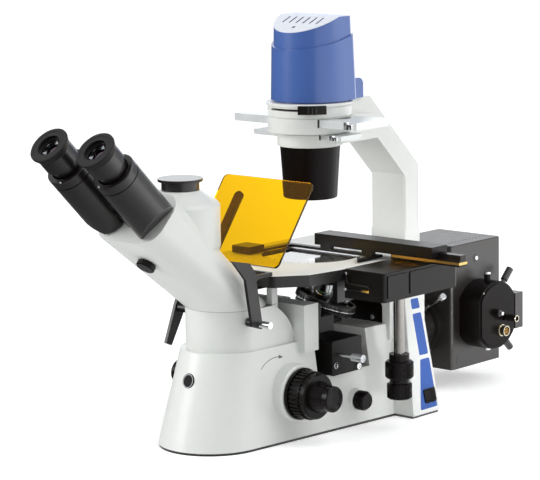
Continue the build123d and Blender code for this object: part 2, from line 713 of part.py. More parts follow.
with BuildPart() as lamp_housing:
    add(outer_low)
    add(outer_high)
    rod((0, lamp_y, carrier_top_z), (0, 0, 1), lamp_half_low - 4, 3)
    add(rear_box.part)
    add(inner_form, mode=Mode.SUBTRACT)
    for number in range(slot_count):
        x = (number - (slot_count - 1) / 2) * slot_pitch
        block(x - slot_w / 2, x + slot_w / 2, -17, -2, lamp_top_z - 25, lamp_top_z + 5, mode=Mode.SUBTRACT)
    rod((0, -26.5, lamp_top_z - 25), (0, 0, 1), 2.4, 30, mode=Mode.SUBTRACT)
lamp_housing.part.label = "lamp_housing"
export_step(lamp_housing.part, "parts/lamp_housing.step")

module_r = 24.0

with BuildPart() as lamp_module:
    turned(up_axis, (carrier_top_z, 15), (carrier_top_z, module_r), (carrier_top_z + 8, module_r),
           (carrier_top_z + 8, 15))
    with Locations((0, 0, carrier_top_z + 7)):
        with PolarLocations(module_r - 4, 4):
            Cylinder(2, 30, align=(Align.CENTER, Align.CENTER, Align.MIN))
    rod((0, 0, carrier_top_z + 36), (0, 0, 1), module_r, 3)
    rod((0, 0, carrier_top_z + 24), (0, 0, 1), 9, 13)
    rod((0, 0, carrier_top_z + 11), (0, 0, 1), 5.5, 14)
lamp_module.part.label = "lamp_module"
export_step(lamp_module.part, "parts/lamp_module.step")

# Head: the eyepiece axes run down towards the stand at 45 degrees
slant = math.sqrt(0.5)
down = (0, slant, -slant)


def on_axis(x, s):
    """A point on an eyepiece axis, a distance s down from its eyecup."""
    return (x, eye_y + s * slant, eye_z - s * slant)


head_front = Plane(origin=on_axis(0, housing_end), x_dir=(1, 0, 0), z_dir=(0, -slant, slant))
hinge_pin_r = 5.0
lug_r = 9.0
lug_t = 9.7
port_r = 19.5
barrel_r = 46.0
under_dir = Vector(0, -0.6285, -0.7779)
knob_seat = Vector(6, -285.0, 228.8)
barrel_axis = Plane(origin=(0, barrel_y, 0), x_dir=(0, 0, 1), z_dir=(0, 1, 0))
port_axis = Plane(origin=(0, port_y, 0), x_dir=(0, 0, 1), z_dir=(0, 1, 0))

with BuildPart() as head_casting:
    with BuildSketch(Plane.XY.offset(neck_top_z)):
        with Locations((0, neck_y)):
            RectangleRounded(2 * neck_r, 2 * neck_r, neck_r - 0.1)
    with BuildSketch(head_front):
        with Locations((0, 5.7)):
            RectangleRounded(96, 70, 24)
    loft()
    turned(barrel_axis, (205, 0), (205, 30), (222, 42), (240, barrel_r), (286, barrel_r), (290, 43),
           (port_z - 1, 25), (port_z, 24), (port_z, 0))
    rod(on_axis(0, housing_end - 2 * lug_t - 1), down, hinge_pin_r, 30)
    block(-55, 55, stage_front_y - 0.4, -90, stage_z - stage_t - 0.4, stage_z + 20, mode=Mode.SUBTRACT)
    rod((0, port_y, port_z - 12), (0, 0, 1), port_r + 0.2, 14, mode=Mode.SUBTRACT)
    rod((0, neck_y, neck_top_z - 1), (0, 0, 1), 18, 40, mode=Mode.SUBTRACT)
    rod(knob_seat + under_dir * 4, -under_dir, shaft_r + running, 30, mode=Mode.SUBTRACT)
head_casting.part.label = "head_casting"
export_step(head_casting.part, "parts/head_casting.step")

with BuildPart() as phototube_cap:
    turned(port_axis, (port_z - 10, 0), (port_z - 10, port_r), (port_z + gap, port_r), (port_z + gap, 21.5),
           (port_z + 9.5, 21.5), (port_z + 10, 25.5), (port_z + 13, 26), (port_z + 13.5, 25.5),
           (port_z + 13.5, 0))
phototube_cap.part.label = "phototube_cap"
export_step(phototube_cap.part, "parts/phototube_cap.step")

with BuildPart() as light_path_knob:
    rod(knob_seat + under_dir * 1, under_dir, 11, 7)
    chamfer(light_path_knob.edges().filter_by(GeomType.CIRCLE), 1)
    rod(knob_seat + under_dir * 2, -under_dir, shaft_r, 26)
light_path_knob.part.label = "light_path_knob"
export_step(light_path_knob.part, "parts/light_path_knob.step")

# Two prism housings that swing about one pin, with their eyepieces
tube_r = 17.0
tube_bore_r = 17.1
end_slope = 1.12             # how steeply the outer half of a housing's end is cut back

for side, name in ((1, "right"), (-1, "left")):
    axis = Plane(origin=on_axis(side * eye_half, 0), x_dir=down, z_dir=(1, 0, 0))
    lug_s = housing_end - gap - lug_t if side == 1 else housing_end - 2 * gap - 2 * lug_t
    with BuildPart() as prism_housing:
        turned(axis, (housing_top, 19), (housing_top, housing_r - 1), (housing_top + 1, housing_r),
               (housing_top + 10, housing_r), (housing_top + 10, housing_r - 0.8),
               (housing_top + 11.5, housing_r - 0.8), (housing_top + 11.5, housing_r),
               (housing_end - gap - 2, housing_r), (housing_end - gap, housing_r - 2),
               (housing_end - gap, 0), (housing_top + 24, 0), (housing_top + 24, tube_bore_r),
               (housing_top + 8.5, tube_bore_r), (housing_top + 8.5, 19))
        outward = Vector(side * 0.927, -0.377 * slant, -0.377 * slant)
        split(bisect_by=Plane(origin=on_axis(side * eye_half, housing_end - gap),
                              z_dir=Vector(*down) + outward * end_slope), keep=Keep.BOTTOM)
        rod(on_axis(0, lug_s), down, lug_r, lug_t)
        with BuildSketch(Plane(origin=on_axis(0, lug_s), x_dir=(1, 0, 0), z_dir=down)):
            with Locations((side * 11, 0)):
                Rectangle(10, 12)
        extrude(amount=lug_t)
        rod(on_axis(0, lug_s - 1), down, hinge_pin_r + running, lug_t + 2, mode=Mode.SUBTRACT)
    prism_housing.part.label = "prism_housing_" + name
    export_step(prism_housing.part, "parts/prism_housing_" + name + ".step")

    with BuildPart() as eyepiece:
        turned(axis, (9, 14), (9, 20), (9.5, 20.5), (27, 20.5), (28, 19.5), (28, tube_r), (58, tube_r),
               (58, 12), (19, 12), (19, 14))
        turned(axis, (12.5, 0), (13, 6), (14.5, 11), (16, 14), (19, 14), (19, 0))
    eyepiece.part.label = "eyepiece_" + name
    export_step(eyepiece.part, "parts/eyepiece_" + name + ".step")

    with BuildPart() as eyecup:
        turned(axis, (0, 19), (0, 22.5), (1, 23.5), (2.5, 23.5), (9, 20.5), (9, 13.5), (7.5, 13.5), (5, 17))
    eyecup.part.label = "eyecup_" + name
    export_step(eyecup.part, "parts/eyecup_" + name + ".step")

# Focusing carriage with the fixed half of the nosepiece
lean = math.radians(tilt)
compass = math.radians(swing)
turret_up = Vector(
    math.sin(lean) * math.cos(compass), math.sin(lean) * math.sin(compass), math.cos(lean)
)
first_out = (Vector(0, 0, 1) - turret_up * math.cos(lean)) * (1 / math.sin(lean))
turret_side = turret_up.cross(first_out)
turret_centre = Vector(0, 0, objective_base_z) - first_out * objective_circle_r - turret_up * seat_rise
turret_axis = Plane(origin=turret_centre, x_dir=turret_up, z_dir=turret_side)
pin_top = 3.0
hub_r = 8.0
carriage_z = 116.0
seat_gap = 0.3

with BuildPart() as focus_carriage:
    block(-30, 52, bay_front_y + 8 + gap, -19, carriage_z, carriage_z + 18)
    block(-30, 52, bay_front_y + 8 + gap, -42, carriage_z, carriage_z + 34)
    block(-30, 28, bay_front_y + 8 + gap, 24, carriage_z, carriage_z + 6)
    fillet(focus_carriage.edges().filter_by(Axis.Z), 3)
    rod(turret_centre - turret_up * 26, turret_up, 18, 18)
    block(-60, 60, -50, 60, carriage_z - 20, carriage_z, mode=Mode.SUBTRACT)
    turned(turret_axis, (-9, 0), (-9, 34), (-8, 36), (-4.2, 36), (-3.3, 35), (-3.3, hub_r),
           (pin_top, hub_r), (pin_top, 0))
    rod((0, 0, carriage_z - 1), (0, 0, 1), 8, 40, mode=Mode.SUBTRACT)
focus_carriage.part.label = "focus_carriage"
export_step(focus_carriage.part, "parts/focus_carriage.step")

# Turret: a ring with five seats on a cone, four objectives and a dust plug
cone_rise = math.tan(lean)
lip_in = 34.0


def seat(number):
    """Base point of one station, its axis direction and the direction across it."""
    turn = 2 * math.pi * number / stations
    out = first_out * math.cos(turn) + turret_side * math.sin(turn)
    base = turret_centre + out * objective_circle_r + turret_up * seat_rise
    return base, turret_up * math.cos(lean) + out * math.sin(lean), turret_up.cross(out)


with BuildPart() as turret_ring:
    turned(turret_axis, (-3, 0), (-3, turret_r - 1), (-2, turret_r), (4, turret_r), (5, turret_r - 1),
           (5, lip_in), (seat_rise - (lip_in - objective_circle_r) * cone_rise, lip_in),
           (seat_rise + objective_circle_r * cone_rise, 0))
    with Locations(turret_axis.location):
        with Locations(Plane(origin=(0, 0, 0), x_dir=(0, 0, 1), z_dir=(1, 0, 0)).location):
            with PolarLocations(turret_r, 45):
                Cylinder(0.9, 5, align=(Align.CENTER, Align.CENTER, Align.CENTER), mode=Mode.SUBTRACT)
    rod(turret_centre - turret_up * 4, turret_up, hub_r + 0.1, pin_top + 4.6, mode=Mode.SUBTRACT)
    for number in range(stations):
        base, axis_dir, across_dir = seat(number)
        rod(base, axis_dir, 10.3, 12, mode=Mode.SUBTRACT)
        rod(base - axis_dir * 14, axis_dir, 7, 15, mode=Mode.SUBTRACT)
turret_ring.part.label = "turret_ring"
export_step(turret_ring.part, "parts/turret_ring.step")

objective_lengths = [38.0, 36.0, 32.0, 26.0]
objective_barrels = [10.0, 10.2, 10.0, 9.5]

for number, name in enumerate(("a", "b", "c", "d")):
    base, axis_dir, across_dir = seat(number)
    length = objective_lengths[number]
    radius = objective_barrels[number]
    across = Plane(origin=base, x_dir=axis_dir, z_dir=across_dir)
    with BuildPart() as objective:
        turned(across, (0, 0), (0, radius - 0.6), (4, radius - 0.6), (4.5, radius), (9, radius),
               (9.4, radius - 0.5), (10.6, radius - 0.5), (11, radius), (length - 12, radius),
               (length - 10.5, radius - 1.5), (length - 4, radius - 4), (length - 1, radius - 4.2),
               (length, radius - 5), (length, 3.5), (length - 1, 3), (length - 1, 0))
    objective.part.label = "objective_" + name
    export_step(objective.part, "parts/objective_" + name + ".step")

# Focus drive: coarse knobs on a tube, fine knobs on the shaft inside it
with BuildPart() as coarse_knobs:
    rod((-coarse_end_x, focus_y, focus_z), (1, 0, 0), coarse_shaft_r, 2 * coarse_end_x)
    for side in (-1, 1):
        outward = Plane(origin=(0, focus_y, focus_z), x_dir=(side, 0, 0), z_dir=(0, 0, 1))
        turned(outward, (coarse_start_x, 0), (coarse_start_x, coarse_r - 1.6),
               (coarse_start_x + 0.8, coarse_r - 0.8), (coarse_start_x + 15.4, coarse_r - 0.8),
               (coarse_start_x + 15.4, coarse_r - 1.2), (coarse_end_x - 1.5, coarse_r - 1.2),
               (coarse_end_x, coarse_r - 2.7), (coarse_end_x, 0))
        ribs(Plane(origin=(side * (coarse_start_x + 1), focus_y, focus_z), z_dir=(side, 0, 0)), 34,
             coarse_r, 14, 2.9, 0.8)
    rod((-boss_x - 4.5, focus_y, focus_z), (1, 0, 0), 14, 4.2)
    rod((-coarse_end_x - 1, focus_y, focus_z), (1, 0, 0), fine_shaft_r + running, 2 * coarse_end_x + 2,
        mode=Mode.SUBTRACT)
coarse_knobs.part.label = "coarse_knobs"
export_step(coarse_knobs.part, "parts/coarse_knobs.step")

with BuildPart() as fine_knobs:
    rod((-fine_end_x + 4, focus_y, focus_z), (1, 0, 0), fine_shaft_r, 2 * fine_end_x - 8)
    for side in (-1, 1):
        outward = Plane(origin=(0, focus_y, focus_z), x_dir=(side, 0, 0), z_dir=(0, 0, 1))
        start = coarse_end_x + gap
        turned(outward, (start, 0), (start, 18.4), (start + 15, 13.8), (start + 15, fine_tip_r - 0.8),
               (start + 16, fine_tip_r), (fine_end_x - 1, fine_tip_r), (fine_end_x, fine_tip_r - 1),
               (fine_end_x, fine_tip_r - 2.5), (fine_end_x - 2, fine_tip_r - 5), (fine_end_x - 2.5, 0))
        for step in range(24):
            turn = 2 * math.pi * step / 24
            spoke = Vector(0, math.cos(turn), math.sin(turn))
            foot = Vector(side * (start + 1), focus_y, focus_z) + spoke * 17.6
            tip = Vector(side * (start + 14), focus_y, focus_z) + spoke * 13.6
            rod(foot, tip - foot, 0.9, (tip - foot).length)
fine_knobs.part.label = "fine_knobs"
export_step(fine_knobs.part, "parts/fine_knobs.step")

with BuildPart() as tension_ring:
    turned(focus_axis, (boss_x + gap, coarse_shaft_r + 0.3), (boss_x + gap, 29.8),
           (boss_x + gap + 0.7, 30.5), (coarse_start_x - gap - 0.7, 30.5), (coarse_start_x - gap, 29.8),
           (coarse_start_x - gap, coarse_shaft_r + 0.3))
tension_ring.part.label = "tension_ring"
export_step(tension_ring.part, "parts/tension_ring.step")

with BuildPart() as intensity_knob:
    lamp_control = Plane(origin=(0, lamp_knob_y, lamp_knob_z), x_dir=(1, 0, 0), z_dir=(0, 0, 1))
    turned(lamp_control, (55, 0), (55, lamp_shaft_r), (lamp_boss_x + gap, lamp_shaft_r),
           (lamp_boss_x + gap, 11), (lamp_boss_x + 12, 10.2), (lamp_boss_x + 14, 9), (lamp_boss_x + 14, 0))
    ribs(Plane(origin=(lamp_boss_x + 1.5, lamp_knob_y, lamp_knob_z), z_dir=(1, 0, 0)), 24, 11.3, 9, 1.2, 0.8)
intensity_knob.part.label = "intensity_knob"
export_step(intensity_knob.part, "parts/intensity_knob.step")

# Filter box in the nosepiece bay, with its two-place slider
filter_x0 = -60.0
filter_x1 = 72.0
filter_y0 = -48.0
filter_y1 = 6.0
filter_top = 107.5
slide_low = 73.0
slide_high = 103.0
slide_end = 20.0
filter_travel = 36.0
pull_y = -39.0
pull_z = 91.0
pull_r = 2.0

with BuildPart() as filter_box:
    block(filter_x0, filter_x1, filter_y0, filter_y1, bay_floor_z, filter_top)
    fillet(filter_box.edges().filter_by(Axis.X), 2)
    block(filter_x0 + 2.5, slide_end + filter_travel + 1, filter_y0 + 3, filter_y1 - 3, slide_low - 0.5,
          slide_high + 0.5, mode=Mode.SUBTRACT)
    rod((0, 0, bay_floor_z - 1), (0, 0, 1), light_r, filter_top - bay_floor_z + 2, mode=Mode.SUBTRACT)
    rod((0, -5, lamp_axis_z + 8), (0, 1, 0), 10, 20, mode=Mode.SUBTRACT)
    rod((slide_end, pull_y, pull_z), (1, 0, 0), pull_r + 0.1, 60, mode=Mode.SUBTRACT)
filter_box.part.label = "filter_box"
export_step(filter_box.part, "parts/filter_box.step")

with BuildPart() as filter_slider:
    block(slide_end - 76, slide_end, filter_y0 + 3.5, filter_y1 - 3.5, slide_low, slide_high)
    for x in (0, -filter_travel):
        rod((x, 0, slide_low - 1), (0, 0, 1), 12, slide_high - slide_low + 2, mode=Mode.SUBTRACT)
        rod((x, 0, lamp_axis_z + 8), (0, 1, 0), 9, 10, mode=Mode.SUBTRACT)
    rod((slide_end - 1, pull_y, pull_z), (1, 0, 0), pull_r, filter_x1 + 24 - slide_end + 2)
    rod((filter_x1 + 24, pull_y, pull_z), (1, 0, 0), 4.7, 16)
filter_slider.part.label = "filter_slider"
export_step(filter_slider.part, "parts/filter_slider.step")

# Amber shield on a bracket screwed to the neck
leg_x = 60.0
leg_t = 4.0
cross_y0 = -146.0
cross_y1 = -142.0
cross_z0 = 199.0
cross_z1 = 203.5
hinge_y = -132.7
hinge_z = 207.9
right_screw = (-165.5, 147.0)
left_screw = (-168.0, 152.0)
screw_r = 3.0
arm_x0 = -43.0
arm_x1 = -31.0

with BuildPart() as shield_bracket:
    block(-leg_x - leg_t, leg_x + leg_t, cross_y0, cross_y1, cross_z0, cross_z1)
    with BuildSketch(Plane.YZ.offset(leg_x)):
        with BuildLine():
            Polyline((-177, 145), (-159, 139), (-169, 197), (-163, cross_z0), (cross_y1, cross_z0),
                     (cross_y1, cross_z1), (-168, cross_z1), (-180, 219), (-208, 225), (-187, 201),
                     close=True)
        make_face()
        fillet(vertices().group_by(Axis.Y)[0], 3)
        with Locations(right_screw):
            Circle(screw_r + 0.2, mode=Mode.SUBTRACT)
    extrude(amount=leg_t)
    with BuildSketch(Plane.YZ.offset(-leg_x - leg_t)):
        with BuildLine():
            Polyline((cross_y1, cross_z0), (cross_y1, cross_z1), (-150, cross_z1), (-173, 158),
                     (-191, 113), (-182, 109), (-162, 143), (-158, 152), close=True)
        make_face()
        with Locations(left_screw):
            Circle(screw_r + 0.2, mode=Mode.SUBTRACT)
    extrude(amount=leg_t)
    # Lug and pin that carry the shield's arm
    with BuildSketch(Plane.YZ.offset(arm_x1 + gap)):
        with BuildLine():
            Polyline((cross_y1 - 1, cross_z0 + 0.5), (hinge_y - 2, cross_z0 + 0.5),
                     (hinge_y + 3.5, hinge_z - 2), (hinge_y + 2, hinge_z + 3.5),
                     (hinge_y - 2, hinge_z + 3.5), (hinge_y - 3.4, hinge_z - 1),
                     (hinge_y - 4.2, cross_z0 + 4), (cross_y1 - 1, cross_z0 + 4), close=True)
        make_face()
    extrude(amount=4)
    rod((arm_x0, hinge_y, hinge_z), (1, 0, 0), 2, arm_x1 - arm_x0 + 1)
    # Thumb screw on the right and plain screw on the left, with their spacers
    rod((neck_r - 0.6, *right_screw), (1, 0, 0), 5, leg_x - neck_r + 0.6)
    rod((-leg_x, *left_screw), (1, 0, 0), 5, leg_x - neck_r + 1)
    rod((leg_x - 1, *right_screw), (1, 0, 0), screw_r, 8)
    rod((leg_x + leg_t, *right_screw), (1, 0, 0), 4, 17)
    rod((-leg_x - leg_t - 3, *left_screw), (1, 0, 0), screw_r, leg_t + 4)
shield_bracket.part.label = "shield_bracket"
export_step(shield_bracket.part, "parts/shield_bracket.step")

shield_rise = math.hypot(66, 90)
shield_face = Plane(origin=(0, -141, 209), x_dir=(1, 0, 0), z_dir=(0, -90 / shield_rise, 66 / shield_rise))
shield_half = 70.0
shield_t = 3.0

with BuildPart() as amber_shield:
    with BuildSketch(shield_face):
        with Locations((0, shield_rise / 2)):
            RectangleRounded(2 * shield_half, shield_rise, 6)
    extrude(amount=-shield_t)
amber_shield.part.label = "amber_shield"
export_step(amber_shield.part, "parts/amber_shield.step")

with BuildPart() as shield_arm:
    hinge_spot = shield_face.to_local_coords(Vector(0, hinge_y, hinge_z))
    with BuildSketch(shield_face.offset(-shield_t)):
        with Locations(((arm_x0 + arm_x1) / 2, (hinge_spot.Y + 92) / 2)):
            SlotOverall(92 - hinge_spot.Y, arm_x1 - arm_x0, rotation=90)
    extrude(amount=-4)
    rod((arm_x0, hinge_y, hinge_z), (1, 0, 0), 4, arm_x1 - arm_x0)
    rod(shield_face.from_local_coords(((arm_x0 + arm_x1) / 2, 80, -shield_t - 5)), shield_face.z_dir, 3, 2)
    rod((arm_x0 - 1, hinge_y, hinge_z), (1, 0, 0), 2 + running, arm_x1 - arm_x0 + 2, mode=Mode.SUBTRACT)
shield_arm.part.label = "shield_arm"
export_step(shield_arm.part, "parts/shield_arm.step")

# Rear lamp house on its collector tube
tube_half = 30.0
tube_flange_r = 36.0
cap_y = 263.0
cap_z = 92.0
cap_r = 43.5
cap_flat = 37.0
cap_end_x = 82.0
house_wall = 2.5
lamp_tube_axis = Plane(origin=(0, 0, lamp_axis_z), x_dir=(0, 1, 0), z_dir=(1, 0, 0))
lever_dir = Vector(0.745, 0, 0.667)
focus_rod_at = (280.0, 87.0)
connector_at = (269.0, 72.0)

with BuildPart() as collector_tube:
    turned(lamp_tube_axis, (spine_rear_y, 17), (spine_rear_y, tube_half), (200, tube_half),
           (201, tube_flange_r), (house_front_y, tube_flange_r), (house_front_y, 17))
    for y in (182, 192):
        with BuildSketch(Plane(origin=(0, y, lamp_axis_z), x_dir=(0, 1, 0), z_dir=lever_dir)):
            Rectangle(6.4, 3.2)
        extrude(amount=40, mode=Mode.SUBTRACT)
collector_tube.part.label = "collector_tube"
export_step(collector_tube.part, "parts/collector_tube.step")

with BuildPart() as epi_lever:
    for y, reach in ((182, 50), (192, 64)):
        with BuildSketch(Plane(origin=Vector(0, y, lamp_axis_z) + lever_dir * 19, x_dir=(0, 1, 0),
                               z_dir=lever_dir)):
            Rectangle(6, 2.8)
        extrude(amount=reach - 19)
    rod(Vector(0, 192, lamp_axis_z) + lever_dir * 63, lever_dir, 4, 6)
epi_lever.part.label = "epi_lever"
export_step(epi_lever.part, "parts/epi_lever.step")

with BuildPart() as lamp_house:
    block(-house_half, house_half, house_front_y, house_rear_y, house_low_z, house_top_z)
    fillet(lamp_house.edges().filter_by(Axis.Z), 4)
    chamfer(lamp_house.faces().sort_by(Axis.Z)[-1].edges(), 1)
    block(-house_half + house_wall, house_half - house_wall, house_front_y + house_wall,
          house_rear_y - house_wall, house_low_z + house_wall, house_top_z - house_wall,
          mode=Mode.SUBTRACT)
    for number in range(12):
        rod((32, 227 + 7.2 * number, house_top_z - 5), (0, 0, 1), 1.4, 8, mode=Mode.SUBTRACT)
    rod((0, house_front_y - 1, lamp_axis_z), (0, 1, 0), 17, 6, mode=Mode.SUBTRACT)
    rod((house_half - 5, cap_y, cap_z), (1, 0, 0), 20, 8, mode=Mode.SUBTRACT)
    block(38, 74, house_rear_y, house_rear_y + 16, 66, 112)
lamp_house.part.label = "lamp_house"
export_step(lamp_house.part, "parts/lamp_house.step")

cap_outline = Plane(origin=(house_half, cap_y, cap_z), x_dir=(0, 1, 0), z_dir=(1, 0, 0))

with BuildPart() as socket_cap:
    with BuildSketch(cap_outline):
        Circle(cap_r)
        Rectangle(2 * cap_flat, 3 * cap_r, mode=Mode.INTERSECT)
    extrude(amount=cap_end_x - house_half)
    chamfer(socket_cap.faces().sort_by(Axis.X)[-1].edges(), 1.5)
    with BuildSketch(cap_outline.offset(cap_end_x - house_half - 0.8)):
        Circle(cap_r - 3)
        Rectangle(2 * cap_flat - 6, 3 * cap_r, mode=Mode.INTERSECT)
    extrude(amount=2)
    rod((house_half, cap_y, cap_z), (1, 0, 0), 16, cap_end_x - house_half - 6, mode=Mode.SUBTRACT)
    for place, length in (((66, cap_y, cap_z + 38), 16), ((66, cap_y, cap_z - 46), 8)):
        rod(place, (0, 0, 1), 4, length)
    for place, toward in (((66, 290, 122), (0, 1, 1)), ((66, 290, 62), (0, 1, -1))):
        rod(place, toward, 3.1, 40, mode=Mode.SUBTRACT)
    rod((60, *focus_rod_at), (1, 0, 0), 2.1, 40, mode=Mode.SUBTRACT)
socket_cap.part.label = "socket_cap"
export_step(socket_cap.part, "parts/socket_cap.step")

with BuildPart() as socket_connector:
    connector_axis = Plane(origin=(cap_end_x + 1.2, *connector_at), x_dir=(1, 0, 0), z_dir=(0, 0, 1))
    turned(connector_axis, (0, 0), (0, 7.6), (2, 7.6), (2, 6.6), (9, 6.6), (9, 5.6), (3, 5.6), (3, 0))
    for turn in range(4):
        angle = math.pi / 4 + math.pi / 2 * turn
        rod((cap_end_x + 3, connector_at[0] + 2.8 * math.cos(angle),
             connector_at[1] + 2.8 * math.sin(angle)), (1, 0, 0), 0.7, 5)
socket_connector.part.label = "socket_connector"
export_step(socket_connector.part, "parts/socket_connector.step")

with BuildPart() as arc_lamp:
    cap_axis = Plane(origin=(0, cap_y, cap_z), x_dir=(1, 0, 0), z_dir=(0, 0, 1))
    turned(cap_axis, (-14, 0), (-14, 4), (-2, 5), (3, 9), (13, 9), (18, 5), (30, 5), (30, 11),
           (cap_end_x - 6, 11), (cap_end_x - 6, 0))
arc_lamp.part.label = "arc_lamp"
export_step(arc_lamp.part, "parts/arc_lamp.step")


def thumb_rod(start, toward, stem_r, stem, grip_r, grip):
    """A stem that ends in a thicker grip with a hollow end."""
    run = Vector(*toward).normalized()
    rod(start, run, stem_r, stem + 1)
    rod(Vector(*start) + run * stem, run, grip_r, grip)
    rod(Vector(*start) + run * (stem + grip - 3), run, grip_r - 1.4, 4, mode=Mode.SUBTRACT)


with BuildPart() as lamp_focus_knob:
    thumb_rod((64, *focus_rod_at), (1, 0, 0), 2, 22, 4.6, 14)
lamp_focus_knob.part.label = "lamp_focus_knob"
export_step(lamp_focus_knob.part, "parts/lamp_focus_knob.step")

with BuildPart() as lamp_centring_upper:
    thumb_rod((66, 290, 122), (0, 1, 1), 3, 12, 4.6, 18)
lamp_centring_upper.part.label = "lamp_centring_upper"
export_step(lamp_centring_upper.part, "parts/lamp_centring_upper.step")

with BuildPart() as lamp_centring_lower:
    thumb_rod((66, 290, 62), (0, 1, -1), 3, 12, 4.6, 18)
lamp_centring_lower.part.label = "lamp_centring_lower"
export_step(lamp_centring_lower.part, "parts/lamp_centring_lower.step")
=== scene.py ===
import math

import bmesh
import bpy
from mathutils import Matrix, Vector


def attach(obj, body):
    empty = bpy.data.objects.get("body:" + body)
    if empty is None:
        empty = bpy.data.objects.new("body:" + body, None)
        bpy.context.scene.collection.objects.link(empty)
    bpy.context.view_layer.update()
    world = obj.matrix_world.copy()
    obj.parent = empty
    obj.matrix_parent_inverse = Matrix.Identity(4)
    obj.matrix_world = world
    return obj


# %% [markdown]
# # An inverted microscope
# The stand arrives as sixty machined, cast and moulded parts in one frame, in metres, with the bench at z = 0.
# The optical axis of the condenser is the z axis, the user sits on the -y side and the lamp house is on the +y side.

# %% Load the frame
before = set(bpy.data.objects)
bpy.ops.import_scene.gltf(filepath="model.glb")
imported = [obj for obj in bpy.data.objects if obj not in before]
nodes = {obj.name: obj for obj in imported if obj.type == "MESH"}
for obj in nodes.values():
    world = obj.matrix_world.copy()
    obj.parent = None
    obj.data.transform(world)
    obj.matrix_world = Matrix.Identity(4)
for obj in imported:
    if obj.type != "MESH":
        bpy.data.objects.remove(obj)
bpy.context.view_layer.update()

# %% [markdown]
# ## Small helpers
# Lengths are written in millimetres, as on a workshop drawing, and turned into metres in one place.
# Colours are written as they look on a screen and turned into the linear values a shader works with.
# A pattern's scale is given by the size of one grain, so a paint texture stays true when it is used on another part.

# %% Units, colours and shader nodes
MM = 0.001
UP = Vector((0, 0, 1))


def mm(x, y, z):
    return Vector((x, y, z)) * MM


def linear(colour):
    channels = [int(colour[i:i + 2], 16) / 255 for i in (1, 3, 5)]
    return [c / 12.92 if c <= 0.04045 else ((c + 0.055) / 1.055) ** 2.4 for c in channels] + [1.0]


def grain(size_mm):
    return 1000 / size_mm


def add_node(tree, kind, inputs=None, **settings):
    made = tree.nodes.new(kind)
    for key, value in settings.items():
        setattr(made, key, value)
    for key, value in (inputs or {}).items():
        if isinstance(value, bpy.types.NodeSocket):
            tree.links.new(value, made.inputs[key])
        else:
            made.inputs[key].default_value = value
    return made


def object_point(tree):
    return add_node(tree, "ShaderNodeTexCoord").outputs["Object"]


def shader_of(made):
    return made.node_tree.nodes["Principled BSDF"]


def surface(name, colour, roughness, metallic=0.0, cloud_mm=9.0, shade=0.06, **inputs):
    """A finish whose colour and gloss drift a little over the part, as sprayed, dyed and plated surfaces do."""
    made = bpy.data.materials.new(name)
    made.use_nodes = True
    tree = made.node_tree
    shader = shader_of(made)
    for key, value in inputs.items():
        shader.inputs[key.replace("_", " ")].default_value = value
    shader.inputs["Metallic"].default_value = metallic
    cloud = add_node(tree, "ShaderNodeTexNoise",
                     {"Vector": object_point(tree), "Scale": grain(cloud_mm), "Detail": 3.0}).outputs["Fac"]
    deep = [c * (1 - shade) for c in linear(colour)[:3]] + [1.0]
    light = [min(1.0, c * (1 + shade)) for c in linear(colour)[:3]] + [1.0]
    tone = add_node(tree, "ShaderNodeMix", {0: cloud, 6: deep, 7: light}, data_type="RGBA")
    gloss = add_node(tree, "ShaderNodeMapRange",
                     {"Value": cloud, "To Min": roughness * 0.86, "To Max": roughness * 1.14})
    tree.links.new(tone.outputs[2], shader.inputs["Base Color"])
    tree.links.new(gloss.outputs["Result"], shader.inputs["Roughness"])
    made.diffuse_color = linear(colour)
    return made


def bump(made, size_mm, height_mm, detail=2.0):
    tree = made.node_tree
    noise = add_node(tree, "ShaderNodeTexNoise",
                     {"Vector": object_point(tree), "Scale": grain(size_mm), "Detail": detail})
    relief = add_node(tree, "ShaderNodeBump",
                      {"Height": noise.outputs["Fac"], "Distance": height_mm * MM, "Strength": 1.0})
    tree.links.new(relief.outputs["Normal"], shader_of(made).inputs["Normal"])
    return made


def math_node(tree, operation, first, second=0.0):
    return add_node(tree, "ShaderNodeMath", {0: first, 1: second}, operation=operation).outputs["Value"]


def above_plane(tree, direction, offset_mm):
    """1 where a point of the part lies beyond a plane, 0 elsewhere."""
    height = add_node(tree, "ShaderNodeVectorMath", {0: object_point(tree), 1: direction}, operation="DOT_PRODUCT")
    return math_node(tree, "GREATER_THAN", height.outputs["Value"], offset_mm * MM)


def both(tree, first, second):
    return math_node(tree, "MULTIPLY", first, second)


def either(tree, first, second):
    return math_node(tree, "MAXIMUM", first, second)


def near(tree, value, middle, reach):
    """1 where a value lies within reach of a middle."""
    return math_node(tree, "LESS_THAN", math_node(tree, "ABSOLUTE", math_node(tree, "SUBTRACT", value, middle)), reach)


def two_tone(made, mask, colour, roughness=None, metallic=None):
    """Gives the masked region of a part a second finish."""
    tree = made.node_tree
    inputs = shader_of(made).inputs
    mix = add_node(tree, "ShaderNodeMix", {0: mask, 6: inputs["Base Color"].links[0].from_socket, 7: linear(colour)},
                   data_type="RGBA")
    tree.links.new(mix.outputs[2], inputs["Base Color"])
    if roughness is not None:
        rough = add_node(tree, "ShaderNodeMix", {0: mask, 2: inputs["Roughness"].links[0].from_socket, 3: roughness})
        tree.links.new(rough.outputs[0], inputs["Roughness"])
    if metallic is not None:
        metal = add_node(tree, "ShaderNodeMix", {0: mask, 2: inputs["Metallic"].default_value, 3: metallic})
        tree.links.new(metal.outputs[0], inputs["Metallic"])
    return made


print("helpers ready")

# %% [markdown]
# ## Painted castings
# The stand, the head and the pillar are aluminium castings, ground smooth, primed and sprayed with a satin enamel.
# Enamel that levels as it dries keeps a faint orange-peel, which is what breaks up its reflections.
# The lamp housing is a thinner pressure casting in blue enamel with a pale vented plate on top.

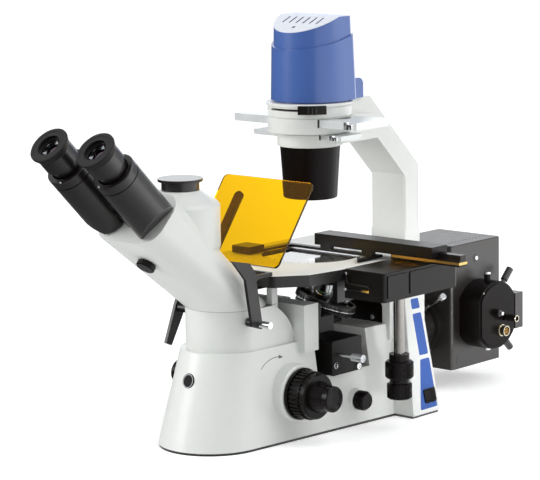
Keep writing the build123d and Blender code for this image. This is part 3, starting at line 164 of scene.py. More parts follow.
# %% Enamel
# sprayed in two coats over primer and baked
white_enamel = bump(surface("white_baked_enamel", "#E2E4E0", 0.36, shade=0.02, Coat_Weight=0.12, Coat_Roughness=0.2),
                    1.6, 0.01)
# the same enamel tinted blue, with the vented plate left pale
blue_enamel = bump(surface("blue_baked_enamel", "#3D61A8", 0.34, shade=0.03, Coat_Weight=0.4, Coat_Roughness=0.16),
                   1.6, 0.01)
TOP_SLOPE = 0.42  # the plate falls to the front by this much per millimetre
TOP_EDGE_Z, TOP_EDGE_DEPTH = 467.5, 40
top_plate = above_plane(blue_enamel.node_tree, (0, -TOP_SLOPE, 1), TOP_EDGE_Z + TOP_SLOPE * TOP_EDGE_DEPTH - 0.6)
two_tone(blue_enamel, top_plate, "#D7DCE4", 0.4)
# printed film, laid into a shallow recess of the casting
blue_film = surface("blue_printed_film", "#345BA8", 0.34, shade=0.03, Specular_IOR_Level=0.3)
print("enamels:", white_enamel.name, blue_enamel.name, blue_film.name)

# %% [markdown]
# An arc with an arrow is screen-printed beside the coarse knob, the way the friction ring tightens. A print has no
# thickness worth modelling, so it is drawn in the shader as a thin band of a circle on the side of the casting.

# %% Printed arc on the casting
ARC_Y, ARC_Z, ARC_R = -126.3, 61.7, 38.6
LINE_HALF = 0.42


def printed_arc(made):
    tree = made.node_tree
    place = add_node(tree, "ShaderNodeSeparateXYZ", {0: object_point(tree)})
    across = math_node(tree, "SUBTRACT", place.outputs["Y"], ARC_Y * MM)
    rise = math_node(tree, "SUBTRACT", place.outputs["Z"], ARC_Z * MM)
    squares = math_node(tree, "ADD", math_node(tree, "POWER", across, 2.0), math_node(tree, "POWER", rise, 2.0))
    reach = math_node(tree, "POWER", squares, 0.5)
    angle = math_node(tree, "ARCTAN2", rise, across)
    line = both(tree, near(tree, reach, ARC_R * MM, LINE_HALF * MM),
                near(tree, angle, math.radians(108), math.radians(25)))
    # the arrowhead narrows to nothing at 73 degrees
    taper = math_node(tree, "MULTIPLY", math_node(tree, "SUBTRACT", angle, math.radians(73)), 12 * MM)
    point = both(tree, near(tree, reach, ARC_R * MM, taper),
                 near(tree, angle, math.radians(78.5), math.radians(5.5)))
    side = above_plane(tree, (1, 0, 0), 40)
    return both(tree, side, either(tree, line, point))


two_tone(white_enamel, printed_arc(white_enamel), "#55585C", 0.5)
# the joint between the neck and the head shows as a fine dark line
tree = white_enamel.node_tree
place = add_node(tree, "ShaderNodeSeparateXYZ", {0: object_point(tree)})
NECK_TOP_Z, NECK_REAR = 160, 100
joint = both(tree, near(tree, place.outputs["Z"], NECK_TOP_Z * MM, 0.28 * MM),
             above_plane(tree, (0, -1, 0), NECK_REAR))
two_tone(white_enamel, joint, "#8F918C", 0.6)
# the side rails under the stage are painted near-black: painted shade where the stage overhangs them
RAIL_X, RAIL_Y, RAIL_Z = (66.5, 4.7), (12.6, 48.9), (168, 17)  # middle and reach of a rail
beside = near(tree, math_node(tree, "ABSOLUTE", place.outputs["X"]), RAIL_X[0] * MM, RAIL_X[1] * MM)
under = both(tree, near(tree, place.outputs["Y"], RAIL_Y[0] * MM, RAIL_Y[1] * MM),
             near(tree, place.outputs["Z"], RAIL_Z[0] * MM, RAIL_Z[1] * MM))
two_tone(white_enamel, both(tree, beside, under), "#14100F", 0.4)
print("arc radius:", ARC_R, "mm")

# %% [markdown]
# ## Dark finishes
# Small mechanical parts are turned or milled aluminium, bead-blasted and black anodised: a thin oxide with dye in
# it, dark but never quite black under a studio light.
# The lamp house gets a coarser powder coat, because it runs hot and is handled with tools.
# Knobs and switches are moulded plastic, and the eyecups are soft rubber.

# %% Anodised, moulded and rubber surfaces
# bead-blasted aluminium with a dyed oxide layer
black_anodised = bump(surface("black_anodised_aluminium", "#110E0D", 0.36, shade=0.12, Specular_IOR_Level=0.2),
                      0.25, 0.004)
# the same oxide over a finer turned surface, for tubes
turned_black = surface("black_anodised_turned", "#120E0D", 0.3, shade=0.12, Specular_IOR_Level=0.6)
# oxide left dull inside and out, so that no light strays round the condenser
dull_black = surface("dull_black_anodised", "#0D0807", 0.34, shade=0.15, Specular_IOR_Level=0.1)
# powder sprayed dry and melted in an oven
powder_black = bump(surface("black_powder_coat", "#181311", 0.4, shade=0.1, Specular_IOR_Level=0.7), 0.7, 0.02, 3.0)
# glass-filled plastic straight from a polished mould
moulded_black = surface("black_moulded_plastic", "#0E0A09", 0.27, shade=0.12, Specular_IOR_Level=0.15)
# gloss enamel on a die casting
gloss_black = surface("black_gloss_enamel", "#0D0908", 0.25, shade=0.1, Specular_IOR_Level=0.08)
# compression-moulded soft rubber
rubber = surface("black_soft_rubber", "#141110", 0.6, shade=0.12, Specular_IOR_Level=0.3)
# fine sheet steel blackened in a hot salt bath
blackened_steel = surface("blackened_steel", "#2A2622", 0.3, 0.6)
print("dark finishes: 8")

# %% [markdown]
# ## Bright metals, glass and acrylic
# Objectives and thumb knobs are brass, turned and plated with satin or bright chromium.
# The stage shaft is ground steel and the rack is bare brass.
# The shield is a flat sheet of cast acrylic dyed amber: it stops stray blue excitation light from reaching the user.

# %% Metals and clear materials
# turned brass, buffed and plated with nickel and chromium
bright_chrome = surface("bright_chromium_plate", "#DDDFE1", 0.11, 1.0, shade=0.03)
# the same plate over a blasted surface
satin_chrome = surface("satin_chromium_plate", "#C9CBCE", 0.22, 1.0, shade=0.04)
# bar stock ground between centres
ground_steel = surface("ground_steel", "#8C8986", 0.17, 1.0, shade=0.05)
# free-cutting brass left as it comes from the lathe
brass = surface("bare_brass", "#D8B566", 0.26, 1.0, shade=0.08)
# barrel-plated nickel
nickel = surface("dull_nickel_plate", "#C9C1B0", 0.24, 1.0, shade=0.05)
# clear anodised sheet aluminium, brushed along its length
pale_anodised = surface("clear_anodised_aluminium", "#DDE0E0", 0.32, 0.35, shade=0.03)
# laminate of glass cloth and resin under a green solder mask
board = surface("circuit_laminate", "#1E5B3A", 0.4)
# front-silvered float glass
mirror = surface("silvered_mirror", "#E6E8EA", 0.03, 1.0, shade=0.02)
# polished optical glass
clear_glass = surface("polished_glass", "#F2F5F4", 0.02, shade=0.01, Transmission_Weight=1.0, IOR=1.52)
# optical glass with a vacuum-deposited anti-reflection film
coated_glass = surface("coated_lens_glass", "#3F222A", 0.06, Coat_Weight=1.0, Coat_Roughness=0.03)
shader_of(coated_glass).inputs["Coat Tint"].default_value = linear("#E6D2E8")
print("bright and clear materials: 10")


# %% Amber acrylic that lets tinted light through its shadow
def amber_sheet():
    # cast between glass plates and cut with a laser
    made = surface("amber_cast_acrylic", "#F6BE02", 0.0, cloud_mm=40, shade=0.01, Transmission_Weight=1.0, IOR=1.49,
                   Specular_IOR_Level=0.25)
    shader_of(made).inputs["Specular Tint"].default_value = linear("#F0B418")
    tree = made.node_tree
    path = add_node(tree, "ShaderNodeLightPath")
    tint = add_node(tree, "ShaderNodeBsdfTransparent", {"Color": linear("#FFF6E0")})
    soft = either(tree, path.outputs["Is Shadow Ray"], path.outputs["Is Diffuse Ray"])
    mix = add_node(tree, "ShaderNodeMixShader", {0: soft, 1: shader_of(made).outputs[0], 2: tint.outputs[0]})
    tree.links.new(mix.outputs[0], tree.nodes["Material Output"].inputs["Surface"])
    return made


amber_acrylic = amber_sheet()
print("shield:", amber_acrylic.name)

# %% [markdown]
# ## Parts with two finishes
# Some parts are machined after they are coated, or are pressed together from two metals before assembly. The line
# between the two finishes is mostly a plane in the part's own coordinates, at the height where the tool stopped.

# %% Stage, cap, rail, bracket and badge
STAGE_LINE_Z, CAP_LINE_Z, RACK_Z, SCREW_X, BADGE_Z, BADGE_RING = 197.4, 316.1, 202.2, 64.2, 81, 7.2
# milled plate: pale ground top, black edge
stage_finish = surface("stage_anodised_aluminium", "#141211", 0.36, shade=0.1)
two_tone(stage_finish, above_plane(stage_finish.node_tree, UP, STAGE_LINE_Z), "#E9EAE8", 0.55)
# turned cap with a pale plastic disc pressed into its rim
cap_finish = surface("turned_cap_and_disc", "#0F0C0B", 0.3, shade=0.1)
two_tone(cap_finish, above_plane(cap_finish.node_tree, UP, CAP_LINE_Z), "#C6C8C8", 0.6)
# black rail with a brass rack let in below its edge
rail_finish = surface("rail_with_brass_rack", "#120F0E", 0.36, shade=0.1, Specular_IOR_Level=0.3)
height = add_node(rail_finish.node_tree, "ShaderNodeSeparateXYZ", {0: object_point(rail_finish.node_tree)})
two_tone(rail_finish, near(rail_finish.node_tree, height.outputs["Z"], RACK_Z * MM, 1.5 * MM), "#C9A866", 0.34, 1.0)
# folded bracket with plated screws
bracket_finish = surface("bracket_with_plated_screws", "#120F0E", 0.36, shade=0.1)
screw_ends = either(bracket_finish.node_tree, above_plane(bracket_finish.node_tree, (1, 0, 0), SCREW_X),
                    above_plane(bracket_finish.node_tree, (-1, 0, 0), SCREW_X))
two_tone(bracket_finish, screw_ends, "#D9DBDD", 0.14, 1.0)
# plain disc with a pale printed ring
badge_finish = surface("badge_with_printed_ring", "#0E0B0A", 0.45, shade=0.1, Specular_IOR_Level=0.1)
level = add_node(badge_finish.node_tree, "ShaderNodeVectorMath",
                 {0: object_point(badge_finish.node_tree), 1: (1, 0, 1)}, operation="MULTIPLY")
from_middle = add_node(badge_finish.node_tree, "ShaderNodeVectorMath",
                       {0: level.outputs["Vector"], 1: mm(0, 0, BADGE_Z)}, operation="DISTANCE")
printed_ring = near(badge_finish.node_tree, from_middle.outputs["Value"], BADGE_RING * MM, 0.35 * MM)
two_tone(badge_finish, printed_ring, "#C9CCCE", 0.4)
# knurled ring, blackened all over and then plated along its lower edge
turret_finish = surface("blackened_ring_with_plated_edge", "#120E0D", 0.3, shade=0.1, Specular_IOR_Level=0.5)
TILT, HEADING = math.radians(19), math.radians(42)
TURRET_UP = Vector((math.sin(TILT) * math.cos(HEADING), math.sin(TILT) * math.sin(HEADING), math.cos(TILT)))
TURRET_AT = Vector((12.02, 10.82, 140.61))
lower_edge = above_plane(turret_finish.node_tree, -TURRET_UP, -TURRET_UP.dot(TURRET_AT) + 1.4)
two_tone(turret_finish, lower_edge, "#D2D4D6", 0.16, 1.0)
print("two-finish parts: 6")

# %% [markdown]
# ## Finishes on the parts
# Each part keeps its shape and only takes a finish. Writing the list by finish, not by part, shows how few
# processes a real instrument needs: two enamels, a handful of black finishes and a few platings.

# %% Give every part its finish
finishes = {
    white_enamel: ["base_casting", "head_casting", "illumination_arm"],
    blue_enamel: ["lamp_housing"],
    blue_film: ["rear_panels"],
    black_anodised: ["x_bar", "specimen_holder", "stage_drive_housing", "focus_carriage",
                     "filter_box", "aperture_lever"],
    turned_black: ["prism_housing_right", "prism_housing_left", "eyepiece_right", "eyepiece_left",
                   "collector_tube", "lamp_focus_knob",
                   "lamp_centring_upper", "lamp_centring_lower"],
    dull_black: ["condenser_cone"],
    powder_black: ["lamp_house", "base_plate"],
    moulded_black: ["coarse_knobs", "fine_knobs", "tension_ring", "intensity_knob", "stage_y_knob",
                    "stage_x_knob", "switch_bezel", "switch_rocker", "power_inlet", "light_path_knob"],
    gloss_black: ["socket_cap"],
    rubber: ["eyecup_right", "eyecup_left", "base_pads"],
    blackened_steel: ["shield_arm"],
    turret_finish: ["turret_ring"],
    satin_chrome: ["objective_a", "objective_b", "objective_c", "objective_d",
                   "lamp_module", "filter_slider"],
    ground_steel: ["stage_shaft", "epi_lever"],
    nickel: ["socket_connector"],
    pale_anodised: ["phase_slider", "diffuser_slider"],
    board: ["power_board"],
    mirror: ["fold_mirrors"],
    clear_glass: ["glass_insert", "condenser_lens", "arc_lamp"],
    amber_acrylic: ["amber_shield"],
    stage_finish: ["stage_plate"],
    cap_finish: ["phototube_cap"],
    rail_finish: ["guide_rail"],
    bracket_finish: ["shield_bracket"],
    badge_finish: ["front_badge"],
}
for finish, names in finishes.items():
    for name in names:
        nodes[name].data.materials.clear()
        nodes[name].data.materials.append(finish)
covered = sorted(name for names in finishes.values() for name in names)
print("parts with a finish:", len(covered), "left over:", sorted(set(nodes) - set(covered)))

# %% [markdown]
# ## Tools for small parts
# Screws, lenses and springs are made the way a workshop makes them: a profile is turned about an axis, a block is
# milled and its edges broken, a rod is bent along a path. Each piece then rides on the part that carries it.

# %% Turning, milling and bending
def finish_shape(shape, name, finish, body, crisp=32):
    bmesh.ops.remove_doubles(shape, verts=shape.verts, dist=1e-6)
    bmesh.ops.recalc_face_normals(shape, faces=shape.faces)
    for face in shape.faces:
        face.smooth = True
    for edge in shape.edges:
        edge.smooth = edge.calc_face_angle(0) < math.radians(crisp)
    mesh = bpy.data.meshes.new(name)
    shape.to_mesh(mesh)
    shape.free()
    mesh.materials.append(finish)
    made = bpy.data.objects.new(name, mesh)
    bpy.context.scene.collection.objects.link(made)
    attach(made, body)
    return made


def turned(name, finish, body, start, axis, profile, steps=40):
    """Spins a profile of (distance along the axis, radius) pairs, in millimetres, about an axis."""
    along = Vector(axis).normalized()
    side = along.orthogonal().normalized()
    shape = bmesh.new()
    points = [shape.verts.new((Vector(start) + along * far + side * radius) * MM) for far, radius in profile]
    edges = [shape.edges.new(pair) for pair in zip(points, points[1:])]
    if profile[0][1] > 0:
        edges.append(shape.edges.new((points[-1], points[0])))
    bmesh.ops.spin(shape, geom=points + edges, cent=Vector(start) * MM, axis=along, dvec=(0, 0, 0),
                   angle=2 * math.pi, steps=steps, use_merge=True, use_duplicate=False)
    return finish_shape(shape, name, finish, body)


def milled(name, finish, body, low, high, edge=0.4, turn=0.0):
    """A block between two corners with its edges broken, turned about the z axis."""
    low, high = mm(*low), mm(*high)
    shape = bmesh.new()
    bmesh.ops.create_cube(shape, size=1)
    bmesh.ops.scale(shape, vec=high - low, verts=shape.verts)
    bmesh.ops.translate(shape, vec=(low + high) / 2, verts=shape.verts)
    bmesh.ops.bevel(shape, geom=shape.edges[:], offset=edge * MM, segments=2, affect="EDGES", profile=0.5, material=-1)
    bmesh.ops.rotate(shape, cent=(0, 0, 0), matrix=Matrix.Rotation(turn, 3, "Z"), verts=shape.verts)
    return finish_shape(shape, name, finish, body)


def bent(name, finish, body, path, radius, sides=12):
    """A round rod bent along a path."""
    path = [mm(*place) for place in path]
    along = (path[1] - path[0]).normalized()
    shape = bmesh.new()
    bmesh.ops.create_circle(shape, cap_ends=True, segments=sides, radius=radius * MM,
                            matrix=Matrix.Translation(path[0]) @ along.to_track_quat("Z", "Y").to_matrix().to_4x4())
    tip = shape.faces[:][0]
    for index in range(1, len(path)):
        along = (path[index] - path[index - 1]).normalized()
        after = (path[index + 1] - path[index]).normalized() if index + 1 < len(path) else along
        cut = (along + after).normalized()
        grown = bmesh.ops.extrude_face_region(shape, geom=[tip])["geom"]
        tip = [part for part in grown if isinstance(part, bmesh.types.BMFace)][0]
        for vert in tip.verts:
            vert.co += along * ((path[index] - vert.co).dot(cut) / along.dot(cut))
    return finish_shape(shape, name, finish, body)


def screw(name, finish, body, place, outward, radius, height):
    """A round head with a broken rim and a socket in it."""
    return turned(name, finish, body, place, outward,
                  [(0, 0), (0, radius), (height - 0.4, radius), (height, radius - 0.4), (height, radius * 0.55),
                   (height - 0.7, radius * 0.45), (height - 0.7, 0)], 24)


print("tools: turned, milled, bent, screw")

# %% [markdown]
# ## Eye lenses
# The last lens of an eyepiece is a shallow dome just under the rim of the cup. A vacuum-coated film a quarter of a
# wavelength thick cancels green light, so what it still reflects looks violet.

# %% Eye lenses
EYE_DOWN = Vector((0, math.sqrt(0.5), -math.sqrt(0.5)))
EYE_X, EYE_Y, EYE_Z = 36, -391, 369
for side, x in (("right", EYE_X), ("left", -EYE_X)):
    eye = ("ocular_" + side, (x, EYE_Y, EYE_Z), EYE_DOWN)
    lens = turned("eye_lens_" + side, coated_glass, *eye,
                  [(12.1, 0), (12.3, 3.5), (12.8, 7), (13.7, 10), (14.6, 12), (15.6, 13.7), (16.2, 13.7), (15.2, 0)],
                  64)
    ring = turned("lens_ring_" + side, turned_black, *eye,
                  [(9.2, 13.98), (9.2, 13.3), (15.2, 12.6), (15.9, 13.7)], 64)
    print(lens.name, len(lens.data.polygons), ring.name, len(ring.data.polygons))
    # flat lip and thick rim of the soft cup, and the bright threaded ring that holds the lens
    turned("cup_lip_" + side, rubber, *eye,
           [(0.5, 22.4), (0.3, 21.6), (0.3, 14.4), (0.8, 13.6), (1.6, 13.4), (1.9, 13.9), (1.9, 18.9), (1.2, 19.6)],
           72)
    turned("cup_band_" + side, rubber, *eye, [(0.5, 22.35), (6.0, 22.1), (6.8, 21.4), (7.0, 17.6), (0.9, 20.4)], 72)
    turned("lens_seat_" + side, bright_chrome, *eye, [(8.6, 12.9), (8.3, 12.3), (11.9, 10.6), (12.6, 11.2)], 64)

# %% [markdown]
# ## Condenser sliders and lever
# Both sliders have a half-round chromium grip near their right end. The grip stands out by a quarter of a
# millimetre only, so that it still passes the guide; its roundness is in the surface normal.
# The lever of the aperture has two ridges for the finger.

# %% Grips and ridges
def grip_chrome(name, centre_mm, half_mm):
    # a half-round pressed into the edge of the slider and plated with it
    made = surface(name, "#DFE1E3", 0.12, 1.0, shade=0.02)
    tree = made.node_tree
    place = add_node(tree, "ShaderNodeSeparateXYZ", {0: object_point(tree)})
    across = math_node(tree, "ABSOLUTE", math_node(tree, "SUBTRACT", place.outputs["X"], centre_mm * MM))
    left = math_node(tree, "SUBTRACT", (half_mm * MM) ** 2, math_node(tree, "POWER", across, 2.0))
    rise = math_node(tree, "MULTIPLY", math_node(tree, "SQRT", math_node(tree, "MAXIMUM", left, 0.0)), 0.6)
    relief = add_node(tree, "ShaderNodeBump", {"Height": rise, "Distance": 1.0, "Strength": 1.0})
    tree.links.new(relief.outputs["Normal"], shader_of(made).inputs["Normal"])
    return made


STANDS_OUT = 0.25
for body, centre, half, y, low, high in (("phase", 85.0, 6.7, 30, 357.2, 365.8),
                                         ("diffuser", 53.9, 6.4, 20, 341.2, 346.8)):
    chrome = grip_chrome(body + "_grip_chromium", centre, half + 0.1)
    for side, place in (("front", -y), ("rear", y)):
        grip = milled(body + "_grip_" + side, chrome, body, (centre - half, place - STANDS_OUT, low),
                      (centre + half, place + STANDS_OUT, high), 0.1)
    print(body, "grips", round(grip.dimensions.x / MM, 1), "mm long")
for number, turn in enumerate((-50.5, -46, -41.5)):
    milled("lever_ridge_" + str(number + 1), turned_black, "aperture", (57.6, -0.8, 373.8), (58.9, 0.8, 382.2), 0.3,
           math.radians(turn))
print("ridges: 3")

# %% [markdown]
# ## Stage drive
# A spring rod on the front of the drive housing holds its cover. It is bent round and ends in a turned brass tip,
# and two plated pins carry it.

# %% Spring rod with a brass tip
bent("drive_spring", turned_black, "stand",
     [(98, -52, 193), (99, -52, 184.5), (100.2, -52, 182.2), (102.6, -52, 181.2), (129.5, -52, 180.6),
      (131.4, -52, 180), (132, -52, 178), (131.4, -52, 175.6), (129.5, -52, 174.6), (97, -52, 174.2)], 0.75)
turned("spring_tip", brass, "stand", (121.5, -52.2, 174.5), (1, 0, 0),
       [(0, 0), (0, 1.2), (1, 1.7), (10.6, 1.7), (11.4, 1.1), (11.4, 0)], 24)
for number, (x, z) in enumerate(((98, 193), (97, 174.2))):
    screw("spring_pin_" + str(number + 1), bright_chrome, "stand", (x, -51, z), (0, -1, 0), 1.9, 2.2)
print("spring, tip and 2 pins")

# %% [markdown]
# ## Nosepiece
# Each objective carries a coloured ring that tells its magnification, and turned grooves where it is gripped.
# The seats stand on a cone, so every ring is the first one turned about the tilted axis of the nosepiece.
# Behind the turret a dark cover plate with a rounded corner closes the casting; it reaches left over the turret's
# shadow, so it is partly a real plate and partly painted shade.

# %% Objective rings and cover plate
# cut into the plated barrel and filled with black lacquer
groove_black = surface("blackened_groove", "#171413", 0.4)
STATION_STEP = math.radians(72)
FIRST_SEAT = Vector((0, 0, 152))
for station, (length, radius, colour) in enumerate(((38, 10.0, "#C8B04A"), (36, 10.2, "#5C8F58"),
                                                    (32, 10.0, "#4E7FB5"), (26, 9.5, "#B0524A"))):
    spin = Matrix.Rotation(STATION_STEP * station, 3, TURRET_UP)
    base = spin @ (FIRST_SEAT - TURRET_AT) + TURRET_AT
    along = spin @ UP
    # baked lacquer in a turned groove
    paint = surface("ring_lacquer_" + str(station + 1), colour, 0.35, shade=0.04)
    bands = [("grip_groove", 5.6, 0.5, groove_black), ("grip_groove_top", 7.6, 0.5, groove_black),
             ("colour_ring", 12.2, 1.3, paint), ("nose_groove", length - 12.7, 0.5, groove_black)]
    inside, outside = radius - 0.3, radius + 0.05
    for label, far, wide, finish in bands:
        turned(label + "_" + str(station + 1), finish, "turret", base, along,
               [(far, inside), (far, outside), (far + wide, outside), (far + wide, inside)], 40)
    print("objective", station + 1, "bands:", len(bands))


def cut_plate(name, finish, body, outline, thick):
    """A sheet cut to an outline, in millimetres, with a thickness given as a vector."""
    shape = bmesh.new()
    blank = shape.faces.new([shape.verts.new(Vector(corner) * MM) for corner in outline])
    grown = bmesh.ops.extrude_face_region(shape, geom=[blank])["geom"]
    far_side = [part for part in grown if isinstance(part, bmesh.types.BMVert)]
    bmesh.ops.translate(shape, vec=Vector(thick) * MM, verts=far_side)
    return finish_shape(shape, name, finish, body)


COVER_Y = 61.2
corner = [(52.5 + 6 * math.cos(math.radians(a)), COVER_Y, 130.5 + 6 * math.sin(math.radians(a)))
          for a in range(0, 91, 10)]
outline = [(-40, COVER_Y, 111.4), (58.5, COVER_Y, 111.4)] + corner + [(-40, COVER_Y, 136.5)]
# dark plate on the bay's rear wall: partly a real cover, partly painted shade where the turret shades the wall
cut_plate("bay_cover", dull_black, "stand", outline, (0, 0.7, 0))
screw("bay_cover_screw", bright_chrome, "stand", (43.7, COVER_Y, 117), (0, -1, 0), 3.0, 1.2)

# %% [markdown]
# ## Screws and fittings
# Socket screws hold the filter box and the end plate of the lamp socket. The socket also has its own plug pins,
# plated with gold over nickel because a lamp current of several amperes passes through them.

# %% Screws on the filter box and lamp house
TO_RIGHT = (1, 0, 0)
BOX_X, HOUSE_X, SOCKET_X = 72, 50, 81.2  # outer faces of the filter box, the lamp house and the socket
# hard gold electroplate over nickel
gold = surface("gold_plate", "#E0B354", 0.2, 1.0, shade=0.05)
for number, (y, z) in enumerate(((-42.3, 78.4), (-1.0, 70.8))):
    screw("filter_screw_" + str(number + 1), bright_chrome, "stand", (BOX_X, y, z), TO_RIGHT, 4.0, 2.4)
screw("house_screw", bright_chrome, "stand", (HOUSE_X, 260.5, 162.5), TO_RIGHT, 2.8, 1.4)
turned("house_screw_seat", turned_black, "stand", (HOUSE_X, 260.5, 162.5), TO_RIGHT,
       [(0, 3.2), (0.5, 3.2), (0.5, 5), (0, 5.4)], 32)
turned("house_plug", powder_black, "stand", (HOUSE_X, 224.5, 35), TO_RIGHT,
       [(0, 0), (0, 5.6), (0.35, 5.2), (0.35, 0)], 40)
for number, (y, z) in enumerate(((236, 123), (283, 123), (283, 62.5), (236, 63.5))):
    screw("socket_screw_" + str(number + 1), nickel, "stand", (SOCKET_X, y, z), TO_RIGHT, 1.9, 0.7)
turned("socket_collar_low", bright_chrome, "stand", (66, 263, 45.5), UP,
       [(0, 0), (0, 3.9), (0.5, 4.3), (5, 4.3), (5, 0)], 32)
turned("socket_collar_high", satin_chrome, "stand", (66, 263, 143.5), UP,
       [(0, 4.02), (0, 4.3), (2.2, 4.3), (2.7, 3.9), (2.7, 0), (2.52, 0), (2.52, 4.02)], 32)
turned("socket_boss", turned_black, "stand", (SOCKET_X, 259, 96), TO_RIGHT,
       [(0, 0), (0, 4.6), (8, 4.6), (9.5, 3.4), (9.5, 0)], 32)
turned("socket_stem", bright_chrome, "stand", (90.5, 259, 96), TO_RIGHT,
       [(0, 0), (0, 2.4), (2.6, 2.4), (3.2, 1.8), (3.2, 0)], 24)
PIN_CIRCLE = 2.8
for turn in range(4):
    angle = math.pi / 4 + math.pi / 2 * turn
    place = (86, 269 + PIN_CIRCLE * math.cos(angle), 72 + PIN_CIRCLE * math.sin(angle))
    turned("plug_pin_" + str(turn + 1), gold, "stand", place, TO_RIGHT,
           [(0, 0), (0, 0.9), (4.6, 0.9), (5.2, 0.5), (5.2, 0)], 16)
print("screws and socket fittings placed")

# %% [markdown]
# The thumb rods of the lamp socket are drilled at the end, and the rim of each is polished bright by use. The epi
# lever ends in a plated cap, and a plated screw closes each prism housing.

# %% Rims of the thumb rods
for body, start, toward, far in (("lamp_focus", (64, 280, 87), TO_RIGHT, 36),
                                 ("centring_upper", (66, 290, 122), (0, 1, 1), 30),
                                 ("centring_lower", (66, 290, 62), (0, 1, -1), 30)):
    turned(body + "_rim", nickel, body, start, toward,
           [(far, 3.3), (far + 0.25, 3.5), (far + 0.25, 4.2), (far, 4.5)], 32)
turned("epi_end", bright_chrome, "epi", (0, 192, 78), (0.745, 0, 0.667),
       [(66.5, 4.02), (66.5, 4.3), (69.1, 4.3), (69.5, 3.8), (69.5, 0), (69.2, 0), (69.2, 4.02)], 32)
screw("housing_screw_left", bright_chrome, "tube_left", (-30.1, -380.3, 326.7), -EYE_DOWN, 1.7, 0.9)
screw("housing_screw_right", bright_chrome, "tube_right", (30.1, -380.3, 326.7), -EYE_DOWN, 1.7, 0.9)
# dull black blocks at the left end of each slider slot: painted shade for the dark gap of the slot opening
for body, x, y, low, high in (("phase", 39.9, -30.8, 356.6, 366.4), ("diffuser", 33.4, -20.8, 340.6, 347.4)):
    milled(body + "_slot_shade", dull_black, "stand", (x - 0.7, y - 0.5, low), (x + 0.7, y + 0.3, high), 0.15)
print("rims: 3, lever end, 2 housing screws, 2 slot edges")

# %% [markdown]
# ## Camera
# A portrait lens from a little above the stage and to the user's right: far enough back that the tubes and the
# lamp house keep their true proportions.

# %% Camera
AZIMUTH = math.radians(42)
PITCH = math.radians(9.4)
ROLL = math.radians(-0.9)
back = Vector((math.sin(AZIMUTH) * math.cos(PITCH), -math.cos(AZIMUTH) * math.cos(PITCH), math.sin(PITCH)))
right = Vector((math.cos(AZIMUTH), math.sin(AZIMUTH), 0))
top = back.cross(right)
turned_right = math.cos(ROLL) * right + math.sin(ROLL) * top
turned_top = -math.sin(ROLL) * right + math.cos(ROLL) * top
camera = bpy.data.objects.new("camera", bpy.data.cameras.new("camera"))
bpy.context.scene.collection.objects.link(camera)
camera.data.lens = 163.3
camera.data.sensor_width = 36
camera.data.dof.use_dof = False
camera.data.clip_end = 50
camera.matrix_world = Matrix.Translation((1.906, -2.191, 0.697)) @ Matrix(
    (turned_right, turned_top, back)).transposed().to_4x4()
bpy.context.scene.camera = camera
print("camera at", tuple(round(v, 3) for v in camera.location))

# %% [markdown]
# ## Light and floor
# Product photographs of optical instruments use large soft sources, so black parts are drawn by their highlights
# and pale parts keep their shading. The floor is pale and plain and keeps the shadow.

# %% Floor
def seamless_paper():
    # cotton paper from a wide roll; it is a little brighter to the camera, and the far left of it is flagged off
    made = surface("pale_seamless_paper", "#F4F4F4", 0.9, cloud_mm=60, shade=0.004, Specular_IOR_Level=0.0)
    tree = made.node_tree
    inputs = shader_of(made).inputs
    path = add_node(tree, "ShaderNodeLightPath")
    inputs["Emission Color"].default_value = linear("#FFFFFF")
    seen_by = math_node(tree, "MAXIMUM", path.outputs["Is Camera Ray"], path.outputs["Is Transmission Ray"])
    tree.links.new(math_node(tree, "MULTIPLY", seen_by, FLOOR_LIFT), inputs["Emission Strength"])
    far = add_node(tree, "ShaderNodeVectorMath", {0: object_point(tree), 1: (0.66, 0.75, 0)}, operation="DOT_PRODUCT")
    level = add_node(tree, "ShaderNodeMapRange", {"Value": far.outputs["Value"], "From Min": -0.55, "From Max": 0.9,
                                                  "To Min": 0.05, "To Max": 2.3})
    seen = add_node(tree, "ShaderNodeEmission", {"Color": linear("#FFFFFF"), "Strength": level.outputs["Result"]})
    mix = add_node(tree, "ShaderNodeMixShader",
                   {0: path.outputs["Is Glossy Ray"], 1: shader_of(made).outputs[0], 2: seen.outputs[0]})
    tree.links.new(mix.outputs[0], tree.nodes["Material Output"].inputs["Surface"])
    return made


FLOOR_LIFT = 0.38
floor_mesh = bpy.data.meshes.new("floor")
floor_shape = bmesh.new()
bmesh.ops.create_grid(floor_shape, x_segments=1, y_segments=1, size=30)
floor_shape.to_mesh(floor_mesh)
floor_shape.free()
floor = bpy.data.objects.new("floor", floor_mesh)
bpy.context.scene.collection.objects.link(floor)
floor_mesh.materials.append(seamless_paper())
print("floor lift:", FLOOR_LIFT)


# %% Lights
def area_light(name, place, aim, size, power):
    lamp = bpy.data.lights.new(name, "AREA")
    lamp.shape = "RECTANGLE"
    lamp.size = size[0]
    lamp.size_y = size[1]
    lamp.energy = power
    holder = bpy.data.objects.new(name, lamp)
    bpy.context.scene.collection.objects.link(holder)
    holder.location = place
    holder.rotation_euler = (Vector(aim) - Vector(place)).to_track_quat("-Z", "Y").to_euler()
    return holder


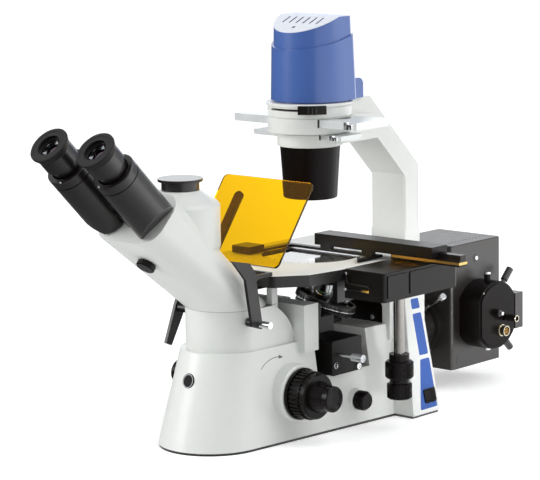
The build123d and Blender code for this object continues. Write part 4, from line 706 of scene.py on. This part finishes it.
sun = bpy.data.lights.new("overhead_softbox", "SUN")
sun.energy = 1.2
sun.angle = math.radians(50)
sun_holder = bpy.data.objects.new("overhead_softbox", sun)
bpy.context.scene.collection.objects.link(sun_holder)
sun_holder.rotation_euler = Vector((-0.55, -0.25, -1.0)).to_track_quat("-Z", "Y").to_euler()
area_light("right_softbox", (2.4, 1.4, 1.2), (0, 0, 0.25), (1.2, 1.6), 15)
low_fill = area_light("low_fill", (1.7, -0.5, 0.2), (0.06, 0.21, 0.09), (0.3, 0.25), 0.16)
low_fill.data.spread = math.radians(14)
area_light("left_softbox", (-1.6, -2.2, 1.4), (0, 0, 0.25), (1.2, 1.6), 50)


AIR_STRENGTH = 0.42


def studio_air():
    world = bpy.data.worlds.new("studio")
    bpy.context.scene.world = world
    world.use_nodes = True
    tree = world.node_tree
    tree.nodes.clear()
    path = add_node(tree, "ShaderNodeLightPath")
    seen = math_node(tree, "MAXIMUM", path.outputs["Is Camera Ray"], path.outputs["Is Transmission Ray"])
    # a tall white card stands behind on the left, low enough to shine along every flat top
    card = add_node(tree, "ShaderNodeVectorMath", {0: object_point(tree), 1: (-0.63, 0.73, 0.26)},
                    operation="DOT_PRODUCT")
    glow = add_node(tree, "ShaderNodeMapRange", {"Value": card.outputs["Value"], "From Min": 0.8, "From Max": 0.98,
                                                 "To Min": 0.4, "To Max": 1.4})
    sky = add_node(tree, "ShaderNodeMath",
                   {0: path.outputs["Is Glossy Ray"], 1: glow.outputs["Result"], 2: AIR_STRENGTH},
                   operation="MULTIPLY_ADD")
    soft = add_node(tree, "ShaderNodeBackground", {"Color": linear("#F6F8FB"), "Strength": sky.outputs["Value"]})
    white = add_node(tree, "ShaderNodeBackground", {"Color": linear("#FFFFFF"), "Strength": 1.0})
    mix = add_node(tree, "ShaderNodeMixShader", {0: seen, 1: soft.outputs[0], 2: white.outputs[0]})
    result = add_node(tree, "ShaderNodeOutputWorld")
    tree.links.new(mix.outputs[0], result.inputs["Surface"])
    return world


print("world:", studio_air().name)
bpy.context.scene.view_settings.view_transform = "Standard"
